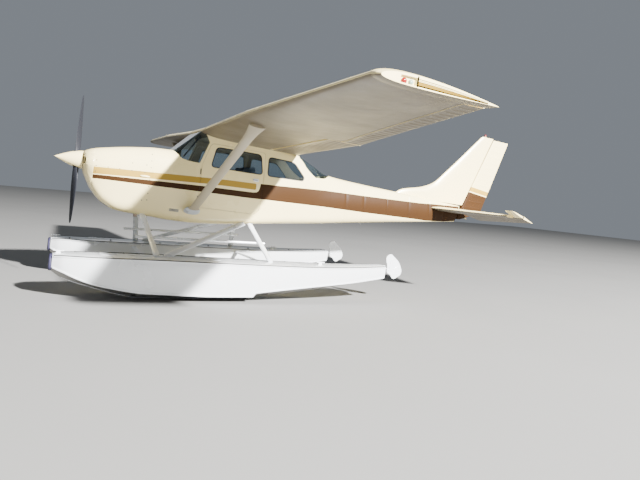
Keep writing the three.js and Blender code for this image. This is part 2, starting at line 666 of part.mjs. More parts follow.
// Rounded nose of a control surface behind its hinge: fore and side places
const NOSE_STEPS = 6;
function noseArc(fore, side, place) {
  return Array.from({ length: NOSE_STEPS + 1 }, (_, i) => {
    const a = Math.PI / 2 + (i / NOSE_STEPS) * Math.PI;
    return place(fore * Math.cos(a), side * Math.sin(a));
  });
}

// Rudder: round nose on the hinge and a thin trailing edge
const RUDDER_HALF = { low: 52, z: 900, slope: 0.0205 };   // half thickness, thinner with height
const RUDDER_NOSE = { fore: 0.52, side: 0.9 };            // nose shares of the half thickness
const RUDDER_THIN = 3;                                    // half thickness of the trailing edge
const RUDDER_SIDE = [
  [5700, RUDDER_BOTTOM - 20], [6000, RUDDER_BOTTOM - 20], [6500, 800], [7100, 800],
  [7100, RUDDER_TOP - 27], [6292, RUDDER_TOP + 30], [5700, RUDDER_TOP + 30],
];
function rudderRing(z) {
  const half = RUDDER_HALF.low - (z - RUDDER_HALF.z) * RUDDER_HALF.slope;
  const x = hingeX(z);
  const nose = noseArc(half * RUDDER_NOSE.fore, half * RUDDER_NOSE.side, (dx, y) => at(x + dx, y, z));
  return [...nose, at(edgeX(z), -RUDDER_THIN, z), at(edgeX(z), RUDDER_THIN, z)];
}
const rudderWhole = solid(loft([RUDDER_BOTTOM - 60, RUDDER_TOP + 10].map(rudderRing)));
add('rudder', rudderWhole.intersect(solid(sidePrism(RUDDER_SIDE, -200, 200))), ivory);

// Stabilizer halves butt against the tail cone
const STAB_SPOTS = [[0, 0], [0.03, 0.36], [0.12, 0.68], [0.35, 1], [0.65, 0.98], [1, 0.86]];
const STAB_GAP = 32;
const STAB_HALF = { root: 44, tip: 24 };
const STAB_ROOT = { inside: 40, ahead: 16, trim: 66 };    // how the root runs into the tail cone
function stabRing(y, x, half) {
  const length = ELEVATOR.hingeX - STAB_GAP - x;
  return thinSection(STAB_SPOTS, (u, share) => at(x + u * length, y, STAB.z + half * share));
}
const stab = solid(loft([
  stabRing(STAB.rootY - STAB_ROOT.inside, STAB.rootX - STAB_ROOT.ahead, STAB_HALF.root),
  stabRing(STAB.tipY, STAB.tipX, STAB_HALF.tip),
])).subtract(tailRoom).subtract(solid(box(5000, 6200, -20, STAB_ROOT.trim, 600, 900)));
addPair('stabilizer', stab, ivory);

// Elevator halves, drooped about their hinge as the column hangs forward. The horn reaches
// forward past the stabilizer's tip, and the root is cut away for the rudder's swing
const ELEVATOR_NOSE = { fore: 0.6, side: 0.86 };
const ELEVATOR_THIN = 2.5;
const ELEVATOR_ROOT = { y: 70, half: 41 };
const ELEVATOR_TIP_HALF = 22;
const HORN_IN = STAB.tipY + 10;
const HORN = { inner: 266, outer: 273, back: 20, backHalf: 20, front: 0.7, frontHalf: 14 };
const RUDDER_SWEEP = [[-60, 0], [-60, 84], [0, 92], [460, 236], [460, 0]];
function elevatorRing(y, chord, half) {
  const nose = noseArc(half * ELEVATOR_NOSE.fore, half * ELEVATOR_NOSE.side, (dx, z) => at(dx, y, z));
  return [...nose, at(chord, y, -ELEVATOR_THIN), at(chord, y, ELEVATOR_THIN)];
}
function hornRing(y, reach) {
  const { back, backHalf, front, frontHalf } = HORN;
  return [
    at(back, y, backHalf), at(-reach * front, y, frontHalf), at(-reach, y, 0),
    at(-reach * front, y, -frontHalf), at(back, y, -backHalf),
  ];
}
const elevatorWhole = solid(loft([
  elevatorRing(ELEVATOR_ROOT.y, ELEVATOR.rootChord, ELEVATOR_ROOT.half),
  elevatorRing(ELEVATOR.tipY, ELEVATOR.tipChord, ELEVATOR_TIP_HALF),
]));
const horn = solid(loft([hornRing(HORN_IN, HORN.inner), hornRing(ELEVATOR.tipY, HORN.outer)]));
const elevator = elevatorWhole.add(horn).subtract(solid(planPrism(RUDDER_SWEEP, -200, 200)));
const elevatorGeometry = geometryOf(elevator);
for (const [side, geometry] of [['right', elevatorGeometry], ['left', mirrored(elevatorGeometry)]]) {
  const mesh = add(`elevator_${side}`, geometry, ivory);
  mesh.position.set(ELEVATOR.hingeX, 0, ELEVATOR.hingeZ);
  mesh.rotation.y = THREE.MathUtils.degToRad(ELEVATOR.droop);
}

// Beacon on the fin's top
const BEACON = { x: 6372, z: FIN.at(-1).z, top: 22, foot: 26, high: 62 };
const beacon = new THREE.CylinderGeometry(BEACON.top, BEACON.foot, BEACON.high, 16);
beacon.rotateX(Math.PI / 2);
beacon.translate(BEACON.x, 0, BEACON.z + TOUCH + BEACON.high / 2);
add('beacon', beacon, paint(BEACON_RED, 0.2));

// Wing struts with a cuff at each end
const strutFoot = at(622, 512, 142);
const strutHead = at(868, 2450, 1352);
const STRUT = [
  { share: 0, wide: 236, thick: 84 },
  { share: 0.035, wide: 226, thick: 78 },
  { share: 0.07, wide: 140, thick: 50 },
  { share: 0.88, wide: 138, thick: 48 },
  { share: 0.95, wide: 168, thick: 50 },
  { share: 1, wide: 230, thick: 50 },
];
addPair('wing_strut', tube(strutFoot, strutHead, STRUT), ivory);

// Cabin inside: the panel under its glare shield, two front seats and a bench
const PANEL = { x0: 452, x1: 486, half: 440, z0: 560, z1: 930 };
const SHIELD = { x0: 330, half: 430, z0: 912, z1: 934 };
const SEAT_Z = 60;               // cabin floor under the seats
const SEAT_Y = 255;
const CUSHION = { x0: 960, x1: 1440, half: 215, z0: SEAT_Z + 230, z1: SEAT_Z + 360 };
const PEDESTAL = { x0: 1020, x1: 1400, half: 160, z0: SEAT_Z, z1: SEAT_Z + 235 };
const BACKREST = { half: 205, at: [[1380, SEAT_Z + 300], [1460, SEAT_Z + 300], [1590, 985], [1510, 1000]] };
const BENCH = { x0: 1850, x1: 2290, half: 420, z0: SEAT_Z + 130, z1: SEAT_Z + 340 };
const BENCH_BACK = { half: 390, at: [[2230, 300], [2310, 300], [2440, 900], [2360, 910]] };

const blockOf = ({ x0, x1, half, z0, z1 }, y = 0) => solid(box(x0, x1, y - half, y + half, z0, z1));
const backOf = ({ half, at: outline }, y = 0) => solid(sidePrism(outline, y - half, y + half));
const cabinRoom = fuselage(100, 2900, SKIN + RUN);
add('instrument_panel', blockOf(PANEL).add(blockOf({ ...SHIELD, x1: PANEL.x1 })), paint(PANEL_BLACK, 0.8));
for (const [name, y] of [['left', -SEAT_Y], ['right', SEAT_Y]]) {
  const seat = blockOf(CUSHION, y).add(blockOf(PEDESTAL, y)).add(backOf(BACKREST, y));
  add(`seat_front_${name}`, seat.intersect(cabinRoom), fabric);
}
add('seat_rear', blockOf(BENCH).add(backOf(BENCH_BACK)).intersect(cabinRoom), fabric);

// Floats, with a mooring cleat near each end of the deck
function deckZ(x) {
  const i = Math.max(1, FLOAT.findIndex((s) => s.x >= x));
  const [a, b] = [FLOAT[i - 1], FLOAT[i]];
  return a.zDeck + ((x - a.x) / (b.x - a.x)) * (b.zDeck - a.zDeck) + DECK_CROWN;
}
const SHOULDER = { y: 0.6, z: 0.8 };          // where the deck turns down: shares of beam and crown
const BOTTOM_HOLLOW = 12;                     // rise of the bottom halfway from chine to keel
function floatRing(s) {
  const half = [
    [0, s.zDeck + DECK_CROWN],
    [s.deck * SHOULDER.y, s.zDeck + DECK_CROWN * SHOULDER.z],
    [s.deck, s.zDeck],
    [s.chine, s.zChine],
    [s.chine * 0.5, (s.zChine + s.zKeel) / 2 + BOTTOM_HOLLOW],
  ];
  const right = half.map(([y, z]) => at(s.x, y, z));
  const left = half.slice(1).reverse().map(([y, z]) => at(s.x, -y, z));
  return [...right, at(s.x, 0, s.zKeel), ...left];
}
const CLEAT_X = [-1168, 2614];
const CLEAT_HALF = 11;
const CLEAT = [
  [-35, -14], [-30, 8], [-20, 24], [-71, 30], [-71, 40], [71, 40], [71, 30], [20, 24], [30, 8], [35, -14],
];
let hullSolid = solid(loft(FLOAT.map(floatRing)));
for (const x of CLEAT_X) {
  const profile = CLEAT.map(([dx, dz]) => [x + dx, deckZ(x) + dz]);
  hullSolid = hullSolid.add(solid(sidePrism(profile, -CLEAT_HALF, CLEAT_HALF)));
}

// Two plates on the stern carry the water rudder's post between them
const POST = { x: 3785, z0: -442, z1: -346, r: 20 };
const STERN_PLATE = {
  root: FLOAT.at(-1).x - 60, rootHalf: 34, end: POST.x + 10, endHalf: 24, tip: POST.x + 19, thick: 8,
};
for (const z of [POST.z0 - RUN - STERN_PLATE.thick, POST.z1 + RUN]) {
  const { root, rootHalf, end, endHalf, tip, thick } = STERN_PLATE;
  const outline = [[root, -rootHalf], [end, -endHalf], [tip, 0], [end, endHalf], [root, rootHalf]];
  hullSolid = hullSolid.add(solid(planPrism(outline, z, z + thick)));
}
const hull = geometryOf(hullSolid);

// Rubber bumper on the bow: the bow's section, drawn in about its middle towards the front
const BOW = FLOAT[0];
const BUMPER_Z = -700;
const BUMPER = [[BOW.x - TOUCH, 1], [BOW.x - 26, 0.94], [BOW.x - 41, 0.74]];
const bumper = loft(BUMPER.map(([x, scale]) => {
  const height = (z) => BUMPER_Z + (z - BUMPER_Z) * scale;
  return floatRing({
    x,
    deck: BOW.deck * scale,
    chine: BOW.chine * scale,
    zDeck: height(BOW.zDeck),
    zChine: height(BOW.zChine),
    zKeel: height(BOW.zKeel),
  });
}));
for (const [name, side] of [['right', 1], ['left', -1]]) {
  const whole = hull.clone().translate(0, side * FLOAT_Y, 0);
  add(`float_${name}`, whole, floatPaint);
  add(`bow_bumper_${name}`, bumper.clone().translate(0, side * FLOAT_Y, 0), black);
}

// Float struts: from the fuselage fittings down to the middle of the decks
const FLOAT_STRUTS = [
  { name: 'front', top: [-60, 330, 20], footX: 92, lift: 6, wide: 84 },
  { name: 'rear', top: [1600, 420, 62], footX: 1785, lift: 6, wide: 84 },
  { name: 'diagonal', top: [1495, 430, 62], footX: 215, lift: 10, wide: 90 },
];
const FLOAT_STRUT_THICK = 40;
const bodyRoom = fuselage(-900, 5900, -TOUCH);
const hullRoom = [1, -1].map((side) => solid(hull.clone().translate(0, side * FLOAT_Y, TOUCH)));
for (const { name, top, footX, lift, wide } of FLOAT_STRUTS) {
  const foot = at(footX, FLOAT_Y, deckZ(footX) + lift);
  const whole = solid(bar(at(...top), foot, wide, FLOAT_STRUT_THICK));
  addPair(`float_strut_${name}`, whole.subtract(bodyRoom).subtract(hullRoom[0]), silver);
}

// Rail along the inner faces of the struts, and the two bars between the floats
const RAIL = { front: at(-170, 711.4, -294), rear: at(1785, 720.9, -203), width: 32 };
const SPREADERS = [{ name: 'front', x: 30, z: -590 }, { name: 'rear', x: 1820, z: -515 }];
const SPREADER = { wide: 76, thick: 40, end: FLOAT_Y - 200 };
addPair('float_rail', bar(RAIL.front, RAIL.rear, RAIL.width, RAIL.width, at(0, 1, 0)), silver);
for (const { name, x, z } of SPREADERS) {
  const whole = solid(bar(at(x, -SPREADER.end, z), at(x, SPREADER.end, z), SPREADER.wide, SPREADER.thick));
  add(`spreader_bar_${name}`, whole.subtract(hullRoom[0]).subtract(hullRoom[1]), silver);
}

// Water rudders: a steering post with its horn between two plates on the stern, and the blade
// that lifts on it, drawn up as it is carried out of the water
const BLADE_PIVOT = { x: 3878, z: -405 };
const WATER_BLADE_HALF = 7;
const STEERING_HORN = { half: 12, reach: 90, z0: POST.z1 - 30, z1: POST.z1 - 22 };
const WATER_BLADE = [
  [-34, -8], [-22, -44], [18, -62], [48, -80], [84, -126], [113, -138], [149, -129], [175, -105], [210, -86],
  [241, -64], [256, -17], [255, 15], [229, 78], [198, 128], [156, 176], [108, 211], [66, 239], [31, 268],
  [0, 271], [-38, 253], [-66, 222], [-72, 190], [-62, 140], [-40, 100], [-30, 34],
];
const post = solid(bar(at(POST.x, 0, POST.z0), at(POST.x, 0, POST.z1), 2 * POST.r, 2 * POST.r))
  .add(solid(box(
    POST.x - STEERING_HORN.half, POST.x + STEERING_HORN.half, -STEERING_HORN.reach, STEERING_HORN.reach,
    STEERING_HORN.z0, STEERING_HORN.z1)));
for (const [name, side] of [['right', 1], ['left', -1]]) {
  const y = side * FLOAT_Y;
  add(`water_rudder_post_${name}`, geometryOf(post).translate(0, y, 0), silver);
  const blade = sidePrism(WATER_BLADE, -WATER_BLADE_HALF, WATER_BLADE_HALF);
  add(`water_rudder_${name}`, blade.translate(BLADE_PIVOT.x, y, BLADE_PIVOT.z), floatPaint);
}

// Stand the craft on its keels
const slope = THREE.MathUtils.degToRad(PITCH);
craft.rotation.y = slope;
const keelZ = -KEEL_AT.x * Math.sin(slope) + KEEL_AT.z * Math.cos(slope);
const stepZ = -STEP_AT.x * Math.sin(slope) + STEP_AT.z * Math.cos(slope);
craft.position.z = -Math.min(keelZ, stepZ);
craft.updateMatrixWorld(true);
craft.position.x = -new THREE.Box3().setFromObject(craft, true).getCenter(new THREE.Vector3()).x;

export default craft;
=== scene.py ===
"""A four-seat high-wing floatplane in ivory, gold and brown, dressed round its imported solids."""

import math

import bmesh
import bpy
import numpy as np
from mathutils import Matrix, Vector
from mathutils.geometry import delaunay_2d_cdt


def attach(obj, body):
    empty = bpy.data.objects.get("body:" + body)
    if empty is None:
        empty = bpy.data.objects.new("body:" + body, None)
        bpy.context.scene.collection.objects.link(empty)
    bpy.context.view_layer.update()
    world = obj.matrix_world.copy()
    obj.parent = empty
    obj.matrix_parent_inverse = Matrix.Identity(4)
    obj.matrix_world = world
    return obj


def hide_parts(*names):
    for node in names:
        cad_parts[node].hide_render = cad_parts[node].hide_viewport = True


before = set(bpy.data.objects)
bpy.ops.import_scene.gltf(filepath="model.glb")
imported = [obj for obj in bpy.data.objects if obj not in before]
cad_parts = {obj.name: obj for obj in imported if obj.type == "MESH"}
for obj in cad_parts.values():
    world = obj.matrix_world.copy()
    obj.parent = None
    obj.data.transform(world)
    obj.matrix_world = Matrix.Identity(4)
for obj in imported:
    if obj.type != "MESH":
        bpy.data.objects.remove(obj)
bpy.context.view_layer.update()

# The room: a pale floor under the keels, soft lamps, and the camera where the photograph was taken.
# Everything below is drawn in the airframe's own millimetres and then stood on its keels.
NOSE_UP = math.radians(2.8)
KEELS_AT = (-2.8746215, 1.1008588)


def turned(v):
    """Airframe direction to part direction: a turn about Y by the nose-up angle."""
    v = np.asarray(v, float)
    c, s = math.cos(NOSE_UP), math.sin(NOSE_UP)
    return np.stack([c * v[..., 0] + s * v[..., 2], v[..., 1], -s * v[..., 0] + c * v[..., 2]], axis=-1)


def stand(points):
    """Airframe millimetres to part metres: turned, then moved to where the keels rest on the floor."""
    return turned(np.asarray(points, float) / 1000) + np.array([KEELS_AT[0], 0, KEELS_AT[1]])


def finish(name, colour, rough, metal=0.0, coat=0.0, spread=0.06, grain=6.0, dimple=(), wear=0.12, shine=0.5):
    """A surface finish. Colour and roughness drift with a slow noise on Object coordinates, and each
    (scale, height in metres) in dimple adds one layer of bump."""
    material = bpy.data.materials.new(name)
    material.use_nodes = True
    nodes, links = material.node_tree.nodes, material.node_tree.links
    shader = nodes["Principled BSDF"]
    shader.inputs["Metallic"].default_value = metal
    shader.inputs["Specular IOR Level"].default_value = shine
    shader.inputs["Coat Weight"].default_value = coat
    shader.inputs["Coat Roughness"].default_value = 0.06
    place = nodes.new("ShaderNodeTexCoord")
    drift = nodes.new("ShaderNodeTexNoise")
    drift.inputs["Scale"].default_value = grain
    drift.inputs["Detail"].default_value = 5
    links.new(place.outputs["Object"], drift.inputs["Vector"])
    blend = nodes.new("ShaderNodeMix")
    blend.data_type = "RGBA"
    blend.inputs[6].default_value = (*[min(1, k * (1 + spread)) for k in colour], 1)
    blend.inputs[7].default_value = (*[k * (1 - spread) for k in colour], 1)
    links.new(drift.outputs["Fac"], blend.inputs[0])
    links.new(blend.outputs[2], shader.inputs["Base Color"])
    dulled = nodes.new("ShaderNodeMapRange")
    dulled.inputs["From Min"].default_value = 0.3
    dulled.inputs["From Max"].default_value = 0.7
    dulled.inputs["To Min"].default_value = rough * (1 - wear)
    dulled.inputs["To Max"].default_value = rough * (1 + wear)
    links.new(drift.outputs["Fac"], dulled.inputs["Value"])
    links.new(dulled.outputs["Result"], shader.inputs["Roughness"])
    before = None
    for scale, height in dimple:
        noise = nodes.new("ShaderNodeTexNoise")
        noise.inputs["Scale"].default_value = scale
        noise.inputs["Detail"].default_value = 2
        links.new(place.outputs["Object"], noise.inputs["Vector"])
        bump = nodes.new("ShaderNodeBump")
        bump.inputs["Distance"].default_value = height
        links.new(noise.outputs["Fac"], bump.inputs["Height"])
        if before:
            links.new(before.outputs["Normal"], bump.inputs["Normal"])
        before = bump
    if before:
        links.new(before.outputs["Normal"], shader.inputs["Normal"])
        links.new(before.outputs["Normal"], shader.inputs["Coat Normal"])
    return material


FLOOR = finish("floor", (0.21, 0.206, 0.196), 0.9, spread=0.02, grain=0.4)
floor_mesh = bpy.data.meshes.new("floor")
floor_mesh.from_pydata([(-60, -60, 0), (60, -60, 0), (60, 60, 0), (-60, 60, 0)], [], [(0, 1, 2, 3)])
floor_mesh.materials.append(FLOOR)
floor_piece = bpy.data.objects.new("floor", floor_mesh)
bpy.context.scene.collection.objects.link(floor_piece)

CAMERA_AT = (-1431.06, -9556.12, 426.76)
CAMERA_RIGHT = (0.899168, -0.416764, 0.133433)
CAMERA_UP = (-0.100220, 0.100692, 0.989857)
CAMERA_AHEAD = (0.425973, 0.903421, -0.048771)
FOCAL_PIXELS = 596.645
camera_data = bpy.data.cameras.new("camera")
camera_data.sensor_width = 36
camera_data.lens = 36 * FOCAL_PIXELS / 640
camera_data.clip_end = 300
camera = bpy.data.objects.new("camera", camera_data)
bpy.context.scene.collection.objects.link(camera)
axes = np.stack([turned(CAMERA_RIGHT), turned(CAMERA_UP), -turned(CAMERA_AHEAD)], axis=1)
pose = np.eye(4)
pose[:3, :3] = axes
pose[:3, 3] = stand(CAMERA_AT)
camera.matrix_world = Matrix(pose.tolist())
bpy.context.scene.camera = camera

world = bpy.data.worlds.new("studio")
world.use_nodes = True
world.node_tree.nodes["Background"].inputs["Color"].default_value = (0.78, 0.86, 0.97, 1)
world.node_tree.nodes["Background"].inputs["Strength"].default_value = 0.27
bpy.context.scene.world = world
for lamp_name, lamp_at, lamp_size, lamp_power in (
    ("key", (11.1, -33.6, 20.6), 1.5, 150000), ("fill", (-12, -12, 5), 9, 150), ("back", (2, 14, 9), 10, 200),
):
    lamp_data = bpy.data.lights.new(lamp_name, "AREA")
    lamp_data.size = lamp_size
    lamp_data.energy = lamp_power
    lamp = bpy.data.objects.new(lamp_name, lamp_data)
    lamp.location = lamp_at
    lamp.rotation_euler = (Vector((0, 0, 1.2)) - Vector(lamp_at)).to_track_quat("-Z", "Y").to_euler()
    bpy.context.scene.collection.objects.link(lamp)


# The fuselage skin: riveted aluminium sheet over frames, painted ivory with a gold and a brown
# stripe. One smooth surface carries the cowl, cabin, doors, panes and tail cone, each a trimmed
# patch of it.
BODY = np.array([  # x, top, bottom, mid, half widths at top, mid and bottom, and their corner radii
    (-938, 838, 560, 702, 150, 250, 150, 90, 200, 90), (-900, 860, 469, 690, 215, 330, 212, 120, 220, 120),
    (-800, 895, 298, 660, 285, 395, 260, 170, 240, 170),
    (-640, 930, 128, 640, 335, 435, 286, 200, 260, 200), (-420, 972, 26, 620, 375, 465, 302, 210, 260, 180),
    (-180, 1008, 5, 620, 405, 488, 345, 220, 260, 140), (0, 1030, -2, 620, 425, 503, 385, 220, 260, 120),
    (290, 1042, -22, 620, 455, 520, 420, 200, 260, 105), (655, 1400, -28, 620, 455, 532, 445, 120, 300, 95),
    (1100, 1400, 2, 620, 455, 535, 450, 60, 300, 95), (1700, 1340, 70, 640, 440, 525, 430, 60, 300, 110),
    (2270, 1292, 135, 660, 395, 478, 385, 90, 280, 120),
    (2640, 1172, 175, 680, 310, 430, 345, 110, 260, 120),
    (3010, 1040, 218, 690, 215, 385, 305, 150, 240, 115),
    (3700, 990, 305, 700, 170, 305, 235, 130, 200, 100), (4700, 945, 425, 705, 115, 205, 150, 95, 150, 75),
    (5950, 880, 570, 720, 40, 66, 42, 34, 90, 34)], float)
CREASES = (290, 655)
GIRTH_KNOTS = np.array([0, 0.14, 0.26, 0.38, 0.54, 0.66, 0.80, 1.0])
GIRTH = 1800.0  # about half way round, so that a step along and a step round are alike


def eased(at, knots, values, creases=()):
    """Monotone cubic through the knots: Hermite spans whose end slopes are the harmonic mean of the
    chords on either side, or the span's own chord at an end or a crease."""
    h = np.diff(knots)[:, None]
    chord = np.diff(values, axis=0) / h
    product = chord[:-1] * chord[1:]
    total = chord[:-1] + chord[1:]
    mean = np.where(product > 0, 2 * product / np.where(total == 0, 1, total), 0)
    left = np.vstack([mean, chord[-1:]])
    right = np.vstack([chord[:1], mean])
    for crease in creases:
        k = int(np.argmin(np.abs(knots - crease)))
        left[k - 1], right[k] = chord[k - 1], chord[k]
    i = np.clip(np.searchsorted(knots, at, side="right") - 1, 0, len(knots) - 2)
    t = ((at - knots[i]) / h[i, 0])[:, None]
    return ((1 + 2 * t) * (1 - t) ** 2 * values[i] + t * (1 - t) ** 2 * h[i] * right[i]
            + t * t * (3 - 2 * t) * values[i + 1] - t * t * (1 - t) * h[i] * left[i])


def half_ring(x, u):
    """A point of the half section at x: u runs 0 to 1 from the keel round to the crown, over four
    straight runs joined by three quadratic Bezier corners."""
    s = eased(x, BODY[:, 0], BODY[:, 1:], CREASES)
    top, bottom, mid, w_top, w_mid, w_bottom = s[:, 0], s[:, 1], s[:, 2], s[:, 3], s[:, 4], s[:, 5]
    zero = np.zeros_like(x)
    corner = np.stack([np.stack([zero, bottom], 1), np.stack([w_bottom, bottom], 1),
                       np.stack([w_mid, mid], 1),
                       np.stack([w_top, top], 1), np.stack([zero, top], 1)], 1)
    starts, ends = [corner[:, 0]], []
    for k, radius in ((1, s[:, 8]), (2, s[:, 7]), (3, s[:, 6])):
        back, ahead = corner[:, k - 1] - corner[:, k], corner[:, k + 1] - corner[:, k]
        lengths = np.linalg.norm(back, axis=1), np.linalg.norm(ahead, axis=1)
        cut = np.minimum(radius, 0.48 * np.minimum(*lengths))[:, None]
        ends.append(corner[:, k] + back / lengths[0][:, None] * cut)
        starts.append(corner[:, k] + ahead / lengths[1][:, None] * cut)
    ends.append(corner[:, 4])
    span = np.clip(np.searchsorted(GIRTH_KNOTS, u, side="right") - 1, 0, 6)
    t = ((u - GIRTH_KNOTS[span]) / np.diff(GIRTH_KNOTS)[span])[:, None]
    place = np.zeros((len(x), 2))
    for k in range(4):
        run = span == 2 * k
        place[run] = (starts[k] * (1 - t) + ends[k] * t)[run]
        if k < 3:
            bend = span == 2 * k + 1
            curve = ends[k] * (1 - t) ** 2 + 2 * corner[:, k + 1] * t * (1 - t) + starts[k + 1] * t * t
            place[bend] = curve[bend]
    return place


def body_skin(xg):
    """The fuselage surface: g runs 0 to 2 from the keel up the starboard side, over the crown at 1
    and down the port side, and a g below 0 is on the port side too."""
    x, g = xg[:, 0], np.mod(xg[:, 1], 2)
    place = half_ring(x, np.minimum(g, 2 - g))
    return np.stack([x, np.where(g <= 1, place[:, 0], -place[:, 0]), place[:, 1]], axis=1)


def girth_at(x, z, side=1):
    """The g where the skin at x is at height z, found along 401 points of the half ring."""
    x, z = np.atleast_1d(np.asarray(x, float)), np.atleast_1d(np.asarray(z, float))
    fine = np.linspace(0, 1, 401)
    heights = half_ring(np.repeat(x, 401), np.tile(fine, len(x)))[:, 1].reshape(-1, 401) + fine * 1e-3
    u = np.array([np.interp(one, row, fine) for one, row in zip(z, heights)])
    return u if side > 0 else 2 - u


def rounded(corners, radius, steps=6, closed=True):
    """An outline whose corners are replaced by quadratic Bezier arcs that start radius away."""
    corners = np.asarray(corners, float)
    made = []
    for k, here in enumerate(corners):
        if not closed and k in (0, len(corners) - 1):
            made.append(here[None])
            continue
        back, ahead = corners[k - 1] - here, corners[(k + 1) % len(corners)] - here
        cut = min(radius, 0.45 * np.linalg.norm(back), 0.45 * np.linalg.norm(ahead))
        t = np.linspace(0, 1, steps)[:, None]
        start, end = here + back / np.linalg.norm(back) * cut, here + ahead / np.linalg.norm(ahead) * cut
        made.append(start * (1 - t) ** 2 + 2 * here * t * (1 - t) + end * t * t)
    return np.vstack(made)


def dotted(line, step, closed=True):
    """The same line with extra points, so that none of its edges is longer than step."""
    line = np.asarray(line, float)
    following = np.roll(line, -1, axis=0) if closed else line[1:]
    made = []
    for a, b in zip(line, following):
        count = max(1, int(math.ceil(np.linalg.norm(b - a) / step)))
        made.append(a + (b - a) * (np.arange(count) / count)[:, None])
    if not closed:
        made.append(line[-1:])
    return np.vstack(made)


def within(points, outline):
    """Even-odd test: which points lie inside the outline."""
    inside = np.zeros(len(points), bool)
    x, y = points[:, 0], points[:, 1]
    for (x0, y0), (x1, y1) in zip(outline, np.roll(outline, -1, axis=0)):
        crosses = (y0 > y) != (y1 > y)
        if y0 != y1:
            inside ^= crosses & (x < (x1 - x0) * (y - y0) / (y1 - y0) + x0)
    return inside


def trimmed(outline, holes=(), paints=(), creases=(), step=45.0, surface=body_skin, scale=(1.0, GIRTH),
            sink=0.0):
    """Trims a curved sheet. Grid points inside the outline, with the edges of holes, paint areas and
    creases, are joined by a Delaunay triangulation in the sheet's two parameters, then lifted onto
    the surface. A crease is (line, depth): its points are sunk to make a panel seam."""
    scale = np.array(scale)
    loops = [dotted(np.asarray(line) * scale, step * 0.6) for line in (outline, *holes, *paints)]
    lines = [(dotted(np.asarray(line) * scale, step * 0.6, closed=False), depth) for line, depth in creases]
    points, edges, sunk = [], [], []
    for loop in loops:
        at = len(points)
        points.extend(loop.tolist())
        edges.extend((at + k, at + (k + 1) % len(loop)) for k in range(len(loop)))
        sunk.extend([0.0] * len(loop))
    for line, depth in lines:
        for offset, drop in ((-3.0, 0.0), (0.0, depth), (3.0, 0.0)):
            along = np.gradient(line, axis=0)
            across = np.stack([-along[:, 1], along[:, 0]], 1) / np.linalg.norm(along, axis=1)[:, None]
            at = len(points)
            points.extend((line + across * offset).tolist())
            edges.extend((at + k, at + k + 1) for k in range(len(line) - 1))
            sunk.extend([drop] * len(line))
    fixed = np.array(points)
    low, high = loops[0].min(0), loops[0].max(0)
    gx = np.arange(low[0] + step / 2, high[0], step)
    gy = np.arange(low[1] + step / 2, high[1], step * 0.72)
    grid = np.stack(np.meshgrid(gx, gy, indexing="ij"), -1).reshape(-1, 2)
    grid = grid[within(grid, loops[0])]
    for hole in loops[1:1 + len(holes)]:
        grid = grid[~within(grid, hole)]
    for block in range(0, len(fixed), 400):
        near = np.linalg.norm(grid[:, None] - fixed[None, block:block + 400], axis=2).min(1)
        grid = grid[near > step * 0.34]
    everything = np.vstack([fixed, grid])
    result = delaunay_2d_cdt([Vector(p) for p in everything.tolist()], edges, [], 0, 1e-4, True)
    flat = np.array([tuple(v) for v in result[0]])
    faces = np.array(result[2])
    depth = np.array([max((sunk[k] for k in group if k < len(sunk)), default=0.0) for group in result[3]])
    middle = flat[faces].mean(axis=1)
    keep = within(middle, loops[0])
    for hole in loops[1:1 + len(holes)]:
        keep &= ~within(middle, hole)
    faces, middle = faces[keep], middle[keep]
    colour = np.zeros(len(faces), int)
    for k, paint in enumerate(loops[1 + len(holes):]):
        colour[within(middle, paint)] = k + 1
    used, faces = np.unique(faces, return_inverse=True)
    faces = faces.reshape(-1, 3)
    flat, depth = flat[used], depth[used]
    placed = surface(flat / scale)
    nudge = 4.0
    du = surface((flat + [nudge, 0]) / scale) - surface((flat - [nudge, 0]) / scale)
    dv = surface((flat + [0, nudge]) / scale) - surface((flat - [0, nudge]) / scale)
    normal = np.cross(du, dv)
    normal /= np.maximum(np.linalg.norm(normal, axis=1), 1e-9)[:, None]
    outward = np.sign(np.sum(normal[:, 1:] * (placed[:, 1:] - [0, placed[:, 2].mean()])))
    placed = placed - normal * outward * (depth[:, None] + sink)
    a, b, c = (placed[faces[:, k]] for k in range(3))
    if np.sum(np.cross(b - a, c - a) * normal[faces[:, 0]] * outward) < 0:
        faces = faces[:, ::-1]
    return placed, faces, colour


def make(name, points, faces, finishes, body="airframe", colour=None, wall=0.0, inner=0, sharp=32, weld=True):
    """A piece from airframe millimetres. wall thickens it inwards with Solidify, inner is how many
    slots further the inside's finish lies, and edges sharper than the given angle stay crisp."""
    mesh = bpy.data.meshes.new(name)
    mesh.from_pydata(stand(points).tolist(), [], [list(map(int, f)) for f in faces])
    for material in finishes:
        mesh.materials.append(material)
    if colour is not None:
        mesh.polygons.foreach_set("material_index", np.asarray(colour, dtype=np.int32))
    piece = bpy.data.objects.new(name, mesh)
    bpy.context.scene.collection.objects.link(piece)
    if weld:
        joined = piece.modifiers.new("weld", "WELD")
        joined.merge_threshold = 0.0002
    if wall:
        thick = piece.modifiers.new("wall", "SOLIDIFY")
        thick.thickness = wall / 1000
        thick.offset = -1
        thick.material_offset = inner
        thick.material_offset_rim = 0
    settled = bpy.data.meshes.new_from_object(piece.evaluated_get(bpy.context.evaluated_depsgraph_get()))
    piece.modifiers.clear()
    piece.data = settled
    bpy.data.meshes.remove(mesh)
    settled.name = name
    settled.shade_smooth()
    settled.set_sharp_from_angle(angle=math.radians(sharp))
    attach(piece, body)
    return piece


